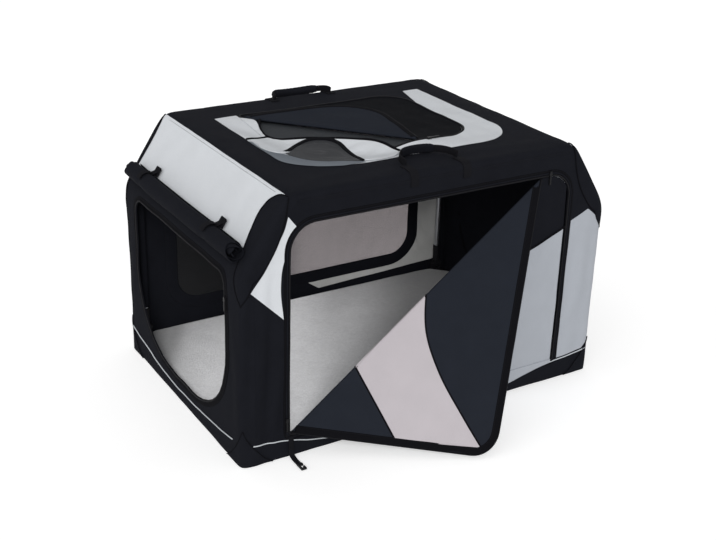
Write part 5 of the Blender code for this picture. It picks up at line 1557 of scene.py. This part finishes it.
ROOF_SEAM_Z = 0.5625
ROOF_SEAM_HALF = 0.0030
ROOF_SEAM_ROWS = 0.0022
SLOPE_SEAM_IN = 0.008
HEM_STITCHES_Z = 0.0235


def seams():
    """Felled seams with their stitches, along the roof's long edges and round the knees."""
    path = level(np.linspace(-0.330, 0.330, 200), ROOF_SEAM_Z)
    for panel, name in ((FRONT, "front"), (REAR, "rear")):
        seam = ribbon(f"roof_edge_seam_{name}", panel, path, -ROOF_SEAM_HALF, ROOF_SEAM_HALF, 0.0008, -0.0004)
        dress(seam, BLACK)
        rows = [path + (0, ROOF_SEAM_ROWS), path - (0, ROOF_SEAM_ROWS)]
        stitches(f"roof_edge_stitches_{name}", panel, rows, 0.0007)
    row = level(np.linspace(-0.262, 0.262, 160), SLOPE_LENGTH - SLOPE_SEAM_IN)
    for panel, name in ((LEFT_SLOPE, "left"), (RIGHT_SLOPE, "right")):
        stitches(f"slope_top_stitches_{name}", panel, [row], 0.0)
    row = level(np.linspace(-0.300, 0.200, 160), HEM_STITCHES_Z)
    for panel, name in ((FRONT, "front"), (REAR, "rear")):
        stitches(f"hem_stitches_{name}", panel, [row], 0.0)


rolled_door()
roll_straps()
handles()
tether()
piping()
door_foot_strip()
bottom_cover()
leg_sleeves()
rear_lining()
seams()


# CAD nodes that stay: their finish, by a word in their names
FINISHES = (("base_tube", STEEL), ("hinge_pin", STEEL), ("arch_tube", STEEL), ("corner_bracket", PLASTIC),
            ("arch_foot", PLASTIC), ("lock_button", PLASTIC), ("floor_panel", BLACK), ("tether_hook", PLASTIC),
            ("slider", COAT))


def finish_cad():
    """Give each CAD node that shows the first finish whose word its name has; sliders get a mesh of their own."""
    for name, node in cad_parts.items():
        for part, material in FINISHES:
            if part in name:
                node.data.materials.clear()
                node.data.materials.append(material)
                if part == "slider":
                    flatten_with_cover(node)
                break


finish_cad()


# Floor, light and camera
CAMERA_PLACE = (-1.3351, -2.1703, 1.3725)
CAMERA_RIGHT = (0.85849, -0.51214, 0.02657)
CAMERA_UP = (0.18866, 0.36358, 0.91226)
CAMERA_BACK = (-0.47687, -0.77815, 0.40875)
CAMERA_LENS = 59.90
SENSOR_WIDTH = 36.0
FLOOR_GLOW = 0.34
SKY_LIGHT = 0.42
# Suns: direction that each shines from, its power, and its spread in degrees
SUNS = {"key": ((-1.25, -2.3, 1.55), 1.95, 24), "fill": ((-2.2, -0.5, 1.2), 0.5, 60)}


def aimed(thing, right, up, back, place):
    """Turn a lamp or a camera so that it looks away from back, and put it in its place."""
    thing.matrix_world = Matrix([[right[i], up[i], back[i], place[i]] for i in range(3)] + [[0, 0, 0, 1]])


def mixed_for_camera(tree, plain, seen):
    """One shader for light on its way through the scene, and one where the camera or a gloss sees it."""
    path = add(tree, "ShaderNodeLightPath").outputs
    glossy = maths(tree, "MAXIMUM", path["Is Glossy Ray"], path["Is Transmission Ray"])
    direct = maths(tree, "MAXIMUM", path["Is Camera Ray"], glossy)
    return add(tree, "ShaderNodeMixShader", _0=direct, _1=plain.outputs[0], _2=seen.outputs[0]).outputs[0]


def floor():
    """Plain pale floor that keeps the crate's shadow, with a little more light where a camera or a gloss sees it."""
    bpy.ops.mesh.primitive_plane_add(size=80, location=(0, 0, -0.0006))
    ground = bpy.context.object
    ground.name = "studio_floor"
    pale = bpy.data.materials.new("pale_floor")
    pale.use_nodes = True
    tree = pale.node_tree
    tree.nodes.clear()
    matt = add(tree, "ShaderNodeBsdfDiffuse", Color=(0.92, 0.92, 0.92, 1))
    glow = add(tree, "ShaderNodeEmission", Color=(1, 1, 1, 1), Strength=FLOOR_GLOW)
    both = add(tree, "ShaderNodeAddShader", _0=matt.outputs[0], _1=glow.outputs[0])
    add(tree, "ShaderNodeOutputMaterial", Surface=mixed_for_camera(tree, matt, both))
    ground.data.materials.append(pale)


def studio():
    """Even sky, a key sun from the front left, and a soft fill from the left."""
    world = bpy.data.worlds.new("studio")
    bpy.context.scene.world = world
    world.use_nodes = True
    tree = world.node_tree
    tree.nodes.clear()
    plain, seen = (add(tree, "ShaderNodeBackground", Color=(1, 1, 1, 1), Strength=light) for light in (SKY_LIGHT, 1.0))
    add(tree, "ShaderNodeOutputWorld", Surface=mixed_for_camera(tree, plain, seen))
    for name, (toward, power, spread_deg) in SUNS.items():
        lamp = bpy.data.lights.new(name, "SUN")
        lamp.energy = power
        lamp.angle = math.radians(spread_deg)
        back = unit(np.array(toward, float))
        right = unit(np.cross((0, 0, 1), back))
        aimed(in_scene(name, lamp), right, np.cross(back, right), back, toward)


def camera():
    """Camera at the photo's viewing angle."""
    lens = bpy.data.cameras.new("photo_camera")
    lens.lens = CAMERA_LENS
    lens.sensor_width = SENSOR_WIDTH
    viewer = in_scene("photo_camera", lens)
    aimed(viewer, CAMERA_RIGHT, CAMERA_UP, CAMERA_BACK, CAMERA_PLACE)
    bpy.context.scene.camera = viewer


floor()
studio()
camera()
bpy.context.scene.view_settings.view_transform = "Standard"
